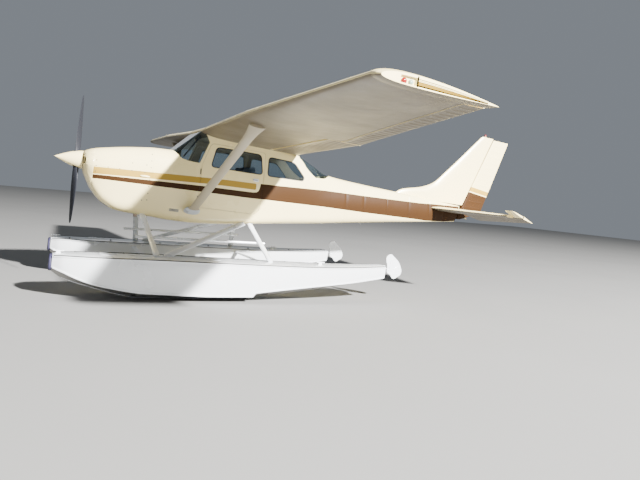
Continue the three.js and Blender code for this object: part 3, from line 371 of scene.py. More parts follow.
ENAMEL_DIMPLE = ((2.2, 0.006), (260, 0.00012))
ivory = finish("ivory_enamel", (0.93, 0.78, 0.39), 0.28, coat=0.18, spread=0.03, grain=1.6,
               dimple=ENAMEL_DIMPLE)
gold = finish("gold_enamel", (0.40, 0.25, 0.038), 0.45, shine=0.15, spread=0.04, grain=3,
              dimple=ENAMEL_DIMPLE)
brown = finish("brown_enamel", (0.042, 0.0185, 0.006), 0.50, shine=0.10, spread=0.06, grain=3,
               dimple=ENAMEL_DIMPLE)

GOLD_STRIPE = [(-810, 622), (0, 656), (240, 668), (880, 696), (1160, 706), (1585, 714), (1604, 702),
               (1606, 628), (1592, 615), (1160, 611), (880, 606), (250, 575), (0, 562), (-810, 523)]
BROWN_STRIPE = [(-810, 513), (0, 538), (720, 559), (1560, 570), (1622, 580), (1652, 606), (1664, 650),
                (1672, 722), (1950, 732), (2900, 776), (3700, 788), (4950, 816), (5300, 838), (5940, 866),
                (5940, 585), (5600, 535), (5150, 505), (4950, 506), (3700, 496), (2900, 498), (1950, 483),
                (1810, 482), (1500, 474), (720, 470), (0, 462), (-810, 456)]


def on_side(outline, side, step=60):
    """A side view outline, x and z, as x and g on the skin."""
    line = dotted(outline, step)
    return np.stack([line[:, 0], girth_at(line[:, 0], line[:, 1], side)], axis=1)


STRIPES = [on_side(shape, side) for side in (1, -1) for shape in (GOLD_STRIPE, BROWN_STRIPE)]
BELOW = [np.stack([line[:, 0], np.where(line[:, 1] > 1, line[:, 1] - 2, line[:, 1])], 1) for line in STRIPES]
COLOURS = [ivory, gold, brown, gold, brown]


def skin(name, outline, holes=(), creases=(), wall=0.0, body="airframe", inside=None, step=45.0):
    """A trimmed patch of the fuselage surface with its stripes, walled inwards."""
    placed, faces, colour = trimmed(outline, holes, STRIPES, creases, step=step)
    slots = COLOURS + [inside or ivory] * len(COLOURS)
    return make(name, placed, faces, slots, body, colour, wall, len(COLOURS))


# The cowl: two halves of pressed sheet round the engine, held by quarter-turn studs. The nose bowl
# in front is a separate pressing with two air inlets beside the spinner.
NOSE_X, COWL_BACK, COWL_SPLIT = -938.0, -0.3, 640.0
CRANK_Z, PROP_REST = 702.0, math.radians(5)
BOWL_SEAM = -812.0
COWL_WALL, SPLIT_GAP = 14.0, 0.0004


def sheet(grid, closed=False, capped=False):
    """Quads over a grid of points (rows, columns, 3). closed joins the last column to the first and
    capped fills the first and last rows."""
    rows, columns = grid.shape[:2]
    number = np.arange(rows * columns).reshape(rows, columns)
    right = np.roll(number, -1, axis=1) if closed else number[:, 1:]
    here = number if closed else number[:, :-1]
    faces = np.stack([here[:-1], right[:-1], right[1:], here[1:]], -1).reshape(-1, 4).tolist()
    if capped:
        faces += [number[0][::-1].tolist(), number[-1].tolist()]
    points = grid.reshape(-1, 3)
    if capped:
        a, b, c, d = (points[[f[k] for f in faces[:-2]]] for k in range(4))
        middle = points.mean(axis=0)
        if np.sum(np.cross(c - a, d - b) * ((a + b + c + d) / 4 - middle)) < 0:
            faces = [f[::-1] for f in faces]
    return points, faces


def shell(grid):
    """A closed form from rings of points: each ring joined round, the first and last ones filled."""
    return sheet(grid, closed=True, capped=True)


def lathe(profile, sides=48, centre=(0, 0, 0)):
    """A body of revolution about X from a profile of x and radius."""
    profile = np.asarray(profile, float)
    angle = np.arange(sides) / sides * 2 * np.pi
    ring = np.stack([np.zeros(sides), np.cos(angle), np.sin(angle)], 1)
    grid = profile[:, None, :1] * [1, 0, 0] + profile[:, None, 1:] * ring[None] + np.asarray(centre, float)
    return shell(grid)


def joined(*shapes):
    """Several closed shapes as the points and faces of one piece."""
    points, faces, start = [], [], 0
    for p, f in shapes:
        points.append(p)
        faces.extend([[k + start for k in one] for one in f])
        start += len(p)
    return np.vstack(points), faces


def block(x0, x1, y0, y1, z0, z1, soft=2.0):
    """A box whose twelve edges are cut off by the given amount."""
    grid = []
    for z, inset in ((z0, soft), (z0 + soft, 0), (z1 - soft, 0), (z1, soft)):
        near, far, low, high = x0 + inset, x1 - inset, y0 + inset, y1 - inset
        corners = [(near + soft, low), (far - soft, low), (far, low + soft), (far, high - soft),
                   (far - soft, high), (near + soft, high), (near, high - soft), (near, low + soft)]
        grid.append([(x, y, z) for x, y in corners])
    return shell(np.array(grid, float))


def cut(piece, *shapes):
    """Takes closed shapes out of a finished piece."""
    for points, faces in shapes:
        mesh = bpy.data.meshes.new("cutter")
        mesh.from_pydata(stand(points).tolist(), [], [list(map(int, f)) for f in faces])
        tool = bpy.data.objects.new("cutter", mesh)
        bpy.context.scene.collection.objects.link(tool)
        carve = piece.modifiers.new("carve", "BOOLEAN")
        carve.object, carve.operation, carve.solver = tool, "DIFFERENCE", "EXACT"
        carved = bpy.data.meshes.new_from_object(piece.evaluated_get(bpy.context.evaluated_depsgraph_get()))
        piece.modifiers.clear()
        piece.data = carved
        bpy.data.objects.remove(tool)
    piece.data.name = piece.name


def oval(x0, x1, y, z, wide, high, count=40):
    """An oval bar along X."""
    a = np.arange(count) / count * 2 * np.pi
    ring = np.stack([0 * a, y + np.cos(a) * wide / 2, z + np.sin(a) * high / 2], -1)
    return shell(np.stack([ring + [x0, 0, 0], ring + [x1, 0, 0]]))


def ball(centre, radii, sides=24):
    """An ellipsoid."""
    t = np.linspace(0, np.pi, 13)
    points, faces = lathe(np.stack([-np.cos(t), np.maximum(np.sin(t), 0.02)], 1), sides)
    return points * radii + np.asarray(centre, float), faces


def outward(xg):
    """Unit directions out of the fuselage skin at places of x and g."""
    here = body_skin(xg)
    normal = np.cross(body_skin(xg + [4, 0]) - here, body_skin(xg + [0, 0.003]) - here)
    normal /= np.linalg.norm(normal, axis=1)[:, None]
    facing = np.sign(np.sum(normal[:, 1:] * (here[:, 1:] - [0, 640]), axis=1))
    return normal * facing[:, None]


def spot(x, z, side, lift=0.0):
    """A place on the side of the fuselage, lifted off the skin."""
    xg = np.stack([np.atleast_1d(float(x)), np.atleast_1d(girth_at(x, z, side))], 1)
    return (body_skin(xg) + outward(xg) * lift)[0]


def studs(spots, away, radius=3.4, height=1.7, sides=6):
    """Rivet heads: a low dome on each spot, standing along its own direction. Each has a ring just
    under the skin, a smaller ring at 0.7 of its height, and a point on top."""
    spots, away = np.asarray(spots, float), np.asarray(away, float)
    u = np.cross(away, np.where(np.abs(away[:, :1]) > 0.8, [[0.0, 1.0, 0.0]], [[1.0, 0.0, 0.0]]))
    u /= np.linalg.norm(u, axis=1)[:, None]
    v = np.cross(away, u)
    angle = np.arange(sides) / sides * 2 * np.pi
    ring = u[:, None] * np.cos(angle)[None, :, None] + v[:, None] * np.sin(angle)[None, :, None]
    foot = spots[:, None] - away[:, None] * 0.8 + ring * radius
    brow = spots[:, None] + away[:, None] * height * 0.7 + ring * radius * 0.66
    points = np.concatenate([foot, brow, (spots + away * height)[:, None]], 1).reshape(-1, 3)
    k = np.arange(sides)
    after = (k + 1) % sides
    one = [list(q) for q in np.stack([k, after, sides + after, sides + k], 1)]
    one += [[sides + i, sides + (i + 1) % sides, 2 * sides] for i in range(sides)]
    one += [list(range(sides))[::-1]]
    return points, [[i + n * (2 * sides + 1) for i in face] for n in range(len(spots)) for face in one]


def nose_face(placed, above):
    """The flat front of the bowl: a sheet across the skin's front edge, on one side of the split."""
    rim = placed[np.abs(placed[:, 0] - NOSE_X) < 0.01]
    y, up = rim[:, 1], rim[:, 2] - CRANK_Z
    rim = rim[np.argsort(np.arctan2(up, y) if above else np.arctan2(y, -up))]
    if above:
        low = rim[:, 2].argsort()[:2]
        start = int(low[np.argmax(rim[low, 1])])
        rim = np.roll(rim, -start, axis=0)
    flat = lambda p: np.stack([np.full(len(p), NOSE_X), p[:, 0], p[:, 1]], -1)
    points, faces, _ = trimmed(rim[:, 1:], step=30, surface=flat, scale=(1.0, 1.0))
    a, b, c = (points[faces[0][k]] for k in range(3))
    return points, faces if np.cross(b - a, c - a)[0] < 0 else faces[:, ::-1]


cowl_x = np.linspace(NOSE_X, COWL_BACK, 40)
split = girth_at(cowl_x, np.full(40, COWL_SPLIT))
upper_cowl = np.vstack([np.stack([cowl_x, split + SPLIT_GAP], 1),
                        np.stack([cowl_x, 2 - split - SPLIT_GAP], 1)[::-1]])
lower_cowl = np.vstack([np.stack([cowl_x, split - SPLIT_GAP], 1),
                        np.stack([cowl_x, SPLIT_GAP - split], 1)[::-1]])
split_front, = girth_at(BOWL_SEAM, COWL_SPLIT)
seam_top = ([(BOWL_SEAM, split_front + 0.01), (BOWL_SEAM, 1.99 - split_front)], 2.0)
seam_low = ([(BOWL_SEAM, 0.01 - split_front), (BOWL_SEAM, split_front - 0.01)], 2.0)
INLETS = [oval(-1000, -820, side * 205, 700, 150, 110) for side in (1, -1)]
CRANK_HOLE = oval(-1000, -800, 0, CRANK_Z, 130, 130)
OUTLET = block(-260, -60, -130, 130, -60, 60, 20)
for name, outline, seam, above, paints, openings in (
    ("top", upper_cowl, seam_top, True, STRIPES, [*INLETS, CRANK_HOLE]),
    ("bottom", lower_cowl, seam_low, False, BELOW, [CRANK_HOLE, OUTLET]),
):
    placed, faces, colour = trimmed(outline, (), paints, [seam])
    front, front_faces = nose_face(placed, above)
    points, faces = joined((placed, faces.tolist()), (front, front_faces.tolist()))
    colour = np.concatenate([colour, np.zeros(len(front_faces), int)])
    piece = make(f"cowl_{name}_half", points, faces, COLOURS + [ivory] * 5, "airframe", colour, COWL_WALL, 5)
    cut(piece, *openings)
    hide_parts("cowl_upper" if above else "cowl_lower")

dark_steel = finish("stud_steel", (0.13, 0.11, 0.09), 0.5, metal=0.4, spread=0.2, grain=30)
COWL_STUDS = [(-780, 640), (-620, 640), (-460, 640), (-293, 640), (-110, 640), (-30, 720), (-30, 820),
              (-30, 920), (-30, 540), (-30, 440), (-30, 340), (-30, 240), (-293, 750), (-94, 750),
              (-104, 228), (-780, 560), (-780, 720)]
HANDS = ((1, "right"), (-1, "left"))
for side, hand in HANDS:
    xg = np.array([(x, girth_at(x, z, side)[0]) for x, z in COWL_STUDS])
    make(f"cowl_studs_{hand}", *studs(body_skin(xg), outward(xg), 9, 2.2, 10), [dark_steel])
make("cowl_blister", *ball(spot(-100, 583, -1, -2), (77, 20, 17)), [ivory])

# The engine: a flat four of aluminium castings, with finned cylinders on each side of the crankcase
# and an exhaust stack of stainless tube led down through the outlet in the lower cowl.
castings = finish("engine_castings", (0.30, 0.31, 0.32), 0.5, metal=0.7, spread=0.15, grain=20,
                  dimple=((60, 0.0006),))
burnt_steel = finish("burnt_steel", (0.30, 0.24, 0.19), 0.45, metal=0.85, spread=0.25, grain=12)
ONE_FIN = ((0, 66), (1, 92), (5, 92), (6, 66))


def quarter(shape):
    """Turns a shape a quarter about Z: what ran aft runs to starboard."""
    return np.stack([-shape[0][:, 1], shape[0][:, 0], shape[0][:, 2]], 1), shape[1]


def moved(shape, shift):
    """The same shape, shifted."""
    return shape[0] + np.asarray(shift, float), shape[1]


def pipe(a, b, radius, wall, sides=24):
    """A hollow tube from a to b: out along the outside, back along the inside."""
    a, b = np.asarray(a, float), np.asarray(b, float)
    along = (b - a) / np.linalg.norm(b - a)
    u = np.cross(along, (0, 1, 0) if abs(along[1]) < 0.9 else (1, 0, 0))
    u /= np.linalg.norm(u)
    angle = np.arange(sides)[:, None] / sides * 2 * np.pi
    ring = np.cos(angle) * u + np.sin(angle) * np.cross(along, u)
    inner = radius - wall
    return sheet(np.stack([a + ring * radius, b + ring * radius, b + ring * inner, a + ring * inner,
                           a + ring * radius]), closed=True)


fins = [(118, 60), *((126 + 14 * k + dx, r) for k in range(14) for dx, r in ONE_FIN), (332, 60)]
cylinder = quarter(lathe(fins, 32))
far_cylinder = cylinder[0] * [-1, -1, 1], cylinder[1]
blocks = [block(-700, -150, -120, 120, 480, 720, 20), block(-600, -260, -105, 105, 390, 484, 15)]
for x, one, y0, y1 in ((-400, cylinder, 328, 385), (-620, cylinder, 328, 385),
                       (-380, far_cylinder, -385, -328), (-600, far_cylinder, -385, -328)):
    blocks += [moved(one, (x, 0, 600)), block(x - 66, x + 66, y0, y1, 535, 665, 18)]
piece = make("engine_castings", *joined(*blocks), [castings], sharp=35)
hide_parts("engine_block")
piece = make("exhaust_pipe", *pipe((-150, -95, 250), (-125, -95, -40), 29, 2.5), [burnt_steel])
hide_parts("exhaust_stack")

# The spinner: a spun aluminium cone, enamelled ivory, with a slot for each blade.
SPINNER_TIP, SPINNER_BACK, SPINNER_RADIUS = -1332.0, -952.0, 136.0


def tilt(points, angle, centre):
    """Turns points about a line along X through the centre."""
    y, z = points[:, 1] - centre[1], points[:, 2] - centre[2]
    c, s = math.cos(angle), math.sin(angle)
    return np.stack([points[:, 0], centre[1] + c * y - s * z, centre[2] + s * y + c * z], 1)


t = np.linspace(0, 1, 28) ** 1.6
cone = np.stack([SPINNER_TIP + t * (SPINNER_BACK - SPINNER_TIP), SPINNER_RADIUS * (1 - (1 - t) ** 1.5)], 1)
cone[0, 1] = 0.6
back_plate = [(SPINNER_BACK + 4, SPINNER_RADIUS - 4), (SPINNER_BACK + 4, 66)]
points, faces = lathe(np.vstack([cone, back_plate]), 64, (0, 0, CRANK_Z))
piece = make("spinner_cone", points, faces, [ivory], "propeller", sharp=40)
for low, high in ((46, 170), (-170, -46)):
    notch, notch_faces = block(-1086, -938, -48, 48, CRANK_Z + low, CRANK_Z + high, 12)
    cut(piece, (tilt(notch, -PROP_REST, (0, 0, CRANK_Z)), notch_faces))
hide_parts("spinner")

# The propeller: one forging of aluminium, enamelled black and bolted to the crank.
BLADE = np.array([  # radius, chord, thickness, angle from the disc
    (40, 96, 60, 60), (120, 92, 44, 52), (210, 108, 33, 43), (300, 128, 26, 34), (430, 144, 21, 28),
    (560, 148, 18, 23), (680, 142, 15, 20), (800, 128, 12, 17), (870, 112, 10.5, 16), (915, 88, 9, 15),
    (940, 58, 8, 14.4), (950, 24, 7, 14)], float)
BLADE_PLANE = -1030
blade_black = finish("propeller_black", (0.018, 0.019, 0.024), 0.48, shine=0.2, spread=0.2, grain=20,
                     wear=0.3)
radius = np.linspace(40, 950, 60)
blade = eased(radius, BLADE[:, 0], BLADE)
angle = np.arange(24) / 24 * 2 * np.pi
wide = np.cos(angle)[None] * blade[:, 1:2] / 2
deep = (np.sin(angle) * (1 + 0.25 * np.cos(angle)))[None] * blade[:, 2:3] / 2
turn = np.radians(blade[:, 3:4])
lobes = []
for side in (1, -1):
    grid = np.stack([BLADE_PLANE + wide * np.sin(turn) + deep * np.cos(turn),
                     side * (wide * np.cos(turn) - deep * np.sin(turn)),
                     CRANK_Z + side * np.repeat(radius[:, None], 24, 1)], -1)
    lobes.append(shell(grid))
points, faces = joined(*lobes)
hub = lathe([(-1074, 40), (-1070, 60), (-984, 60), (-980, 40)], 40, (0, 0, CRANK_Z))
points, faces = joined((tilt(points, -PROP_REST, (0, 0, CRANK_Z)), faces), hub)
piece = make("propeller_blades", points, faces, [blade_black], "propeller", sharp=50, weld=False)
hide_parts("propeller")

# The cabin skins: the boot cowl, sides and roof edges in pressed sheet, with openings for the
# windshield, doors and windows, and a dark rubber channel round each side and door pane.
DOOR = (60, [(704, 225), (704, 880), (822, 1228), (1716, 1222), (1716, 300), (1640, 225)])
DOOR_WINDOW = (66, [(842, 866), (908, 1182), (1640, 1180), (1690, 866)])
SIDE_WINDOW = (62, [(1772, 858), (1772, 1166), (2236, 1150), (2450, 930), (2420, 868)])
WING_ROOT = (652.0, 1402.0, 1626.0, math.radians(4.2))  # leading edge x and z, chord, incidence
SKIN_WALL = 24
lining = finish("cabin_lining", (0.40, 0.35, 0.27), 0.75, spread=0.08, grain=14, dimple=((300, 0.0004),))


def grown(shape, extra):
    """A side opening with rounded corners, scaled about the middle of its corners."""
    radius, corners = shape
    corners = np.array(corners, float)
    middle, width = corners.mean(axis=0), np.ptp(corners, axis=0)
    return rounded(middle + (corners - middle) * (1 + 2 * extra / width), max(radius + extra, 8))


def section_at(u, upper):
    """Height of the wing section over its chord line at the fraction u of the chord."""
    half = 0.6 * (0.2969 * np.sqrt(u) - 0.126 * u - 0.3516 * u ** 2 + 0.2843 * u ** 3 - 0.1015 * u ** 4)
    camber = np.where(u < 0.4, 0.125 * (0.8 * u - u ** 2), 0.02 / 0.36 * (0.2 + 0.8 * u - u ** 2))
    return camber + np.where(upper, half, -half)


def root_height(x, upper=False):
    """Height of the wing's root section at x."""
    x0, z0, chord, incidence = WING_ROOT
    u = np.clip((np.asarray(x, float) - x0) / chord / math.cos(incidence), 0, 1)
    v = section_at(u, upper)
    u = np.clip(((x - x0) / chord - v * math.sin(incidence)) / math.cos(incidence), 0, 1)
    return z0 + chord * (section_at(u, upper) * math.cos(incidence) - u * math.sin(incidence))


def across(line):
    """A starboard line of x and z from crown to crown, closed over to port, as x and g."""
    line = np.asarray(line, float)
    g = girth_at(line[:, 0], line[:, 1])
    g[[0, -1]] = 1.0
    return np.vstack([np.stack([line[:, 0], g], 1), np.stack([line[:, 0], 2 - g], 1)[-2:0:-1]])


roof_x = np.linspace(735, 2274, 40)
GLASS_FOOT = [(284, 2000), (286, 1030), (330, 984), (405, 924), (500, 906), (672, 896), (792, 1235),
              (732, 1362)]
roof_line = np.stack([roof_x, root_height(roof_x) - 0.5], 1)
top_hole = across(np.vstack([GLASS_FOOT[:1], dotted(GLASS_FOOT[1:], 40, False), roof_line, [(2274, 2000)]]))
BACK_GLASS = [(2330, 2000), (2330, 1240), (2455, 1120), (2680, 958), (2900, 985), (2990, 1030), (2990, 2000)]
back_hole = across(BACK_GLASS)
side_holes = [on_side(grown(shape, 0), side, 40) for side in (1, -1) for shape in (DOOR, SIDE_WINDOW)]
piece = skin("cabin_skins", [(0.3, 0), (2999.7, 0), (2999.7, 2), (0.3, 2)],
             holes=[top_hole, back_hole, *side_holes],
             wall=SKIN_WALL, inside=lining)
for node in ("cabin_nose", "cabin_belly", "cabin_floor", "cabin_side_left", "cabin_side_right"):
    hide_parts(node)

# Window panes: clear acrylic sheet, seated just under the skin, the side and door panes in rubber channels.
glass = bpy.data.materials.new("clear_acrylic")
glass.use_nodes = True
pane_shader = glass.node_tree.nodes["Principled BSDF"]
pane_shader.inputs["Base Color"].default_value = (0.66, 0.74, 0.77, 1)
pane_shader.inputs["Roughness"].default_value = 0.02
pane_shader.inputs["Transmission Weight"].default_value = 1.0
pane_shader.inputs["IOR"].default_value = 1.12
rubber = finish("window_rubber", (0.018, 0.018, 0.020), 0.6, spread=0.15, grain=30)
PANE_SINK, PANE_WALL = 8.0, 5.0


def pane(name, outline, body, *nodes, step=60.0):
    """A pane of the fuselage surface, sunk under the skin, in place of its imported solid."""
    placed, faces, _ = trimmed(outline, step=step, sink=PANE_SINK)
    made = make(name, placed, faces, [glass], body, None, PANE_WALL)
    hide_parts(*nodes)


def channel(name, outer, inner, body):
    """A rubber strip that laps the edge of an opening, 1.5 mm proud of the skin."""
    placed, faces, _ = trimmed(outer, holes=[inner], step=26, sink=-1.5)
    make(name, placed, faces, [rubber], body, None, 8)


PANE_FOOT = [(287, 2000), (289, 1034), (333, 987), (407, 927), (501, 909), (670, 899), (788, 1234),
             (728, 1362)]
front = np.array([(655, 2000), (655, 1378), (662, 1372), (690, 1364)], float)
pane_edge = np.vstack([PANE_FOOT[:1], dotted(PANE_FOOT[1:], 40, False), front[::-1]])
pane("windshield_pane", across(pane_edge), "airframe", "windshield")
pane("back_pane", across([(2333, 2000), (2333, 1241), (2457, 1123), (2681, 962), (2898, 988), (2986, 1032),
                          (2986, 2000)]),
     "airframe", "rear_window")
for side, hand in HANDS:
    pane(f"side_pane_{hand}", on_side(grown(SIDE_WINDOW, -1.5), side, 40), "airframe", f"side_window_{hand}")
    channel(f"side_channel_{hand}", on_side(grown(SIDE_WINDOW, 5), side, 30),
            on_side(grown(SIDE_WINDOW, -11), side, 30), "airframe")
    pane(f"door_pane_{hand}", on_side(grown(DOOR_WINDOW, -1.5), side, 40), f"door_{hand}",
         f"door_glass_{hand}")
    channel(f"door_channel_{hand}", on_side(grown(DOOR_WINDOW, 5), side, 30),
            on_side(grown(DOOR_WINDOW, -11), side, 30),
            f"door_{hand}")

# The doors: a pressed outer skin over a frame, trimmed inside, hung on two hinges at the front.
for side, hand in HANDS:
    piece = skin(f"door_shell_{hand}", on_side(grown(DOOR, -5.0), side, 30),
                 holes=[on_side(grown(DOOR_WINDOW, 0), side, 30)],
                 wall=SKIN_WALL, body=f"door_{hand}", inside=lining)
    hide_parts(f"door_{hand}")


def stripe_at(heads, faces):
    """0, 1 or 2 for each face of the rivet heads: ivory, or the stripe that the head sits in."""
    inside = [within(heads[:, [0, 2]], np.array(shape, float)) for shape in (GOLD_STRIPE, BROWN_STRIPE)]
    return np.repeat(np.select(inside, [1, 2], 0), len(faces) // len(heads))


def streamline(count, wide, thick):
    """A streamlined section about its middle: blunt in front, drawn out behind."""
    angle = np.arange(count) / count * 2 * np.pi
    along = -np.cos(angle) * wide / 2
    side = np.sin(angle) * thick / 2 * (1 - 0.28 * (1 - np.cos(angle)) / 2 + 0.10)
    return np.stack([along, side], -1)


def spar(stations, widest=(1, 0, 0), count=28, section=streamline):
    """A tube through stations of (x, y, z, wide, thick), its wide axis kept along the given direction."""
    stations = np.asarray(stations, float)
    place = stations[:, :3]
    along = np.gradient(place, axis=0)
    along /= np.linalg.norm(along, axis=1)[:, None]
    u = np.array(widest, float)[None] - along * (along @ np.array(widest, float))[:, None]
    u /= np.linalg.norm(u, axis=1)[:, None]
    v = np.cross(along, u)
    shape = np.stack([section(count, wide, thick) for wide, thick in stations[:, 3:5]])
    grid = place[:, None] + u[:, None] * shape[..., :1] + v[:, None] * shape[..., 1:]
    return shell(grid)


def between(a, b, table):
    """Stations part of the way from a to b: (share, wide, thick) rows."""
    a, b = np.asarray(a, float), np.asarray(b, float)
    return [(*(a + (b - a) * share), wide, thick) for share, wide, thick in table]


def rod(a, b, radius, sides=16):
    """A round bar from a to b with slightly softened ends."""
    a, b = np.asarray(a, float), np.asarray(b, float)
    length = np.linalg.norm(b - a)
    lip = min(0.02, 2 / length)
    table = [(0, 2 * radius * 0.8, 2 * radius * 0.8), (lip, 2 * radius, 2 * radius),
             (1 - lip, 2 * radius, 2 * radius),
             (1, 2 * radius * 0.8, 2 * radius * 0.8)]
    widest = (0, 0, 1) if abs(b[0] - a[0]) > 0.7 * length else (1, 0, 0)
    ring = lambda count, wide, thick: np.stack([np.cos(np.arange(count) / count * 2 * np.pi) * wide / 2,
                                                np.sin(np.arange(count) / count * 2 * np.pi) * thick / 2], -1)
    return spar(between(a, b, table), widest, sides, ring)


def riveted(lines, pitch, side):
    """Spots along side view lines of x and z on one side of the fuselage, and the directions out."""
    places = []
    for line in lines:
        dense = dotted(line, 12, closed=False)
        xg = np.stack([dense[:, 0], girth_at(dense[:, 0], dense[:, 1], side)], 1)
        run = np.concatenate([[0], np.cumsum(np.linalg.norm(np.diff(body_skin(xg), axis=0), axis=1))])
        even = np.arange(pitch / 2, run[-1], pitch)
        places.append(np.stack([np.interp(even, run, xg[:, k]) for k in (0, 1)], 1))
    places = np.vstack(places)
    return body_skin(places), outward(places)


steel = finish("cadmium_steel", (0.40, 0.40, 0.41), 0.38, metal=0.9, spread=0.15, grain=30)
aluminium = finish("strut_aluminium", (0.84, 0.86, 0.88), 0.32, metal=0.2, coat=0.2, spread=0.05, grain=5,
                   dimple=((40, 0.0002),), wear=0.25)
RIVET_PITCH = 34
RIVET_LINES = [
    [(8, 60), (8, 1010)], [(290, 60), (290, 1000)], [(30, 840), (270, 840)], [(1990, 120), (1990, 840)],
    [(2380, 160), (2380, 850)], [(2640, 190), (2640, 940)], [(2985, 240), (2985, 1020)],
    [(1740, 300), (2990, 360)], [(3010, 366), (5500, 560)], [(3010, 860), (5300, 800)],
    [(560, 60), (560, 880)], [(1745, 845), (2960, 845)],
    *([(x, 330 + (x - 3320) * 0.11), (x, 950 - (x - 3320) * 0.05)] for x in (3332, 3712, 4212, 4712, 5212))]
for side, hand in HANDS:
    body = f"door_{hand}"
    pan = block(-44, 44, -2, 5, -24, 24, 3)
    make(f"door_handle_pan_{hand}", *moved(pan, spot(1588, 766, side, 2)), [aluminium], body)
    handle = [rod(spot(1530, 766, side, 15), spot(1606, 762, side, 15), 7.5),
              rod(spot(1606, 762, side, -4), spot(1606, 762, side, 16), 9)]
    make(f"door_handle_{hand}", *joined(*handle), [steel], body)
    edge = grown(DOOR, -16)
    heads = riveted([np.vstack([edge, edge[:1]])], RIVET_PITCH, side)
    points, faces = studs(*heads)
    make(f"door_rivets_{hand}", points, faces, [ivory, gold, brown], body, stripe_at(heads[0], faces))
    edge = grown(DOOR, 14)
    heads = riveted([np.vstack([edge, edge[:1]]), *RIVET_LINES], RIVET_PITCH, side)
    points, faces = studs(*heads)
    make(f"side_rivets_{hand}", points, faces, [ivory, gold, brown], colour=stripe_at(heads[0], faces))
    hinges = [rod(spot(696, z - 42, side, 3), spot(696, z + 42, side, 3), 8) for z in (360, 775)]
    make(f"door_hinges_{hand}", *joined(*hinges), [dark_steel])
louvre = [rod(spot(306, z, -1, 2), spot(446, z, -1, 2), 4.5) for z in (122, 133, 144, 155)]
make("side_louvres", *joined(*louvre), [steel])
make("belly_mast", *joined(rod((3820, 0, 318), (3842, 0, 268), 6),
                           rod((1640, -430, 88), (1652, -436, 30), 5)), [steel])

# The tail cone: sheet wrapped round formers, closed by a bulkhead ahead of the rudder.
HINGE_X, HINGE_Z, HINGE_SLOPE = 6036.0, 870.0, 0.3976
RUDDER_GAP = 41.0


def hinge_at(z):
    """x of the raked rudder hinge at height z."""
    return HINGE_X + (np.asarray(z, float) - HINGE_Z) * HINGE_SLOPE


g_end = np.linspace(0, 2, 60)
end_z = body_skin(np.stack([np.full(60, 5900.0), g_end], 1))[:, 2]
end_x = np.minimum(5949.7, hinge_at(end_z) - RUDDER_GAP)
tail_outline = np.vstack([[(3000.3, 0)], np.stack([end_x, g_end], 1), [(3000.3, 2)]])
seams = [([(x, 0.03), (x, 1.97)], 1.6) for x in (3320, 3700, 4200, 4700, 5200, 5560)]
piece = skin("tail_skins", tail_outline, creases=seams, wall=11, step=60)
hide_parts("tail_cone")
end_ring = body_skin(np.stack([end_x - 4, g_end], 1))[:-1]
inner_ring = end_ring * [1, 0.93, 1]
bulkhead = np.stack([inner_ring - [14, 0, 0], inner_ring])
points, faces = shell(bulkhead)
make("tail_bulkhead", points, faces, [ivory])

# The fin: a thin riveted surface with a long dorsal root, and its beacon on top.
FIN = np.array([(905, 4420, 52), (1030, 4600, 50), (1130, 5030, 48), (1245, 5290, 46), (1470, 5522, 42),
                (2300, 6292, 24)], float)


def thin_grid(lead, back, half, spots, share):
    """Sections of a thin surface: lead and back are (n, 3) edges, half its thickness, and share the
    part of that thickness at each spot along the chord. Runs round from the nose, over +, back on -."""
    spots = np.concatenate([spots, spots[:0:-1]])
    sign = np.concatenate([share, -share[:0:-1]])
    line = lead[:, None] + (back - lead)[:, None] * spots[None, :, None]
    return line, half[:, None] * sign[None]


spots = np.concatenate([(1 - np.cos(np.linspace(0, np.pi / 2, 10))) * 0.34, np.linspace(0.4, 1, 8)])
share = np.interp(spots, [0, 0.01, 0.04, 0.09, 0.14, 0.22, 0.34, 0.48, 0.62, 0.8, 1],
                  [0, 0.17, 0.34, 0.52, 0.66, 0.82, 0.94, 0.985, 1, 0.97, 0.9])
fin_z = np.unique(np.concatenate([np.linspace(905, 1245, 16), np.linspace(1245, 1470, 8),
                                  np.linspace(1470, 2300, 20)]))
fin = eased(fin_z, FIN[:, 0], FIN)
lead = np.stack([fin[:, 1], 0 * fin_z, fin_z], 1)
back = np.stack([hinge_at(fin_z) - RUDDER_GAP, 0 * fin_z, fin_z], 1)
line, off = thin_grid(lead, back, fin[:, 2], spots, share)
points, faces = shell(line + off[..., None] * [0, 1, 0])
piece = make("fin_skins", points, faces, [ivory], sharp=40)
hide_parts("fin")

beacon_glass = finish("beacon_glass", (0.16, 0.012, 0.010), 0.14, coat=0.7, spread=0.1, grain=20)
BEACON_AT = (6372, 0, 2300.3)


def upright(shape):
    """Turns a shape a quarter about Y: what ran aft runs up."""
    return np.stack([-shape[0][:, 2], shape[0][:, 1], shape[0][:, 0]], 1), shape[1]


make("beacon_base", *moved(upright(lathe([(0, 26), (12, 26), (14, 24)], 32)), BEACON_AT), [ivory], sharp=30)
piece = make("beacon_dome", *moved(upright(lathe([(12, 22), (40, 22), (52, 17), (59, 8), (61.6, 0.8)], 32)),
                                   BEACON_AT), [beacon_glass])
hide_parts("beacon")

# The rudder: beaded sheet folded round a spar, with a gold and a brown band below.
EDGE_X, EDGE_Z, EDGE_SLOPE = 6662.0, 1293.0, 0.31
nose_angle = np.pi / 2 + np.linspace(0, 1, 13) * np.pi
chord_spots = np.linspace(0, 1, 14)[1:]


def pressed(y, start, pitch, height):
    """Bead height along the span: narrow ridges at the pitch."""
    return np.maximum(0, np.cos((y - start) / pitch * 2 * np.pi)) ** 3 * height


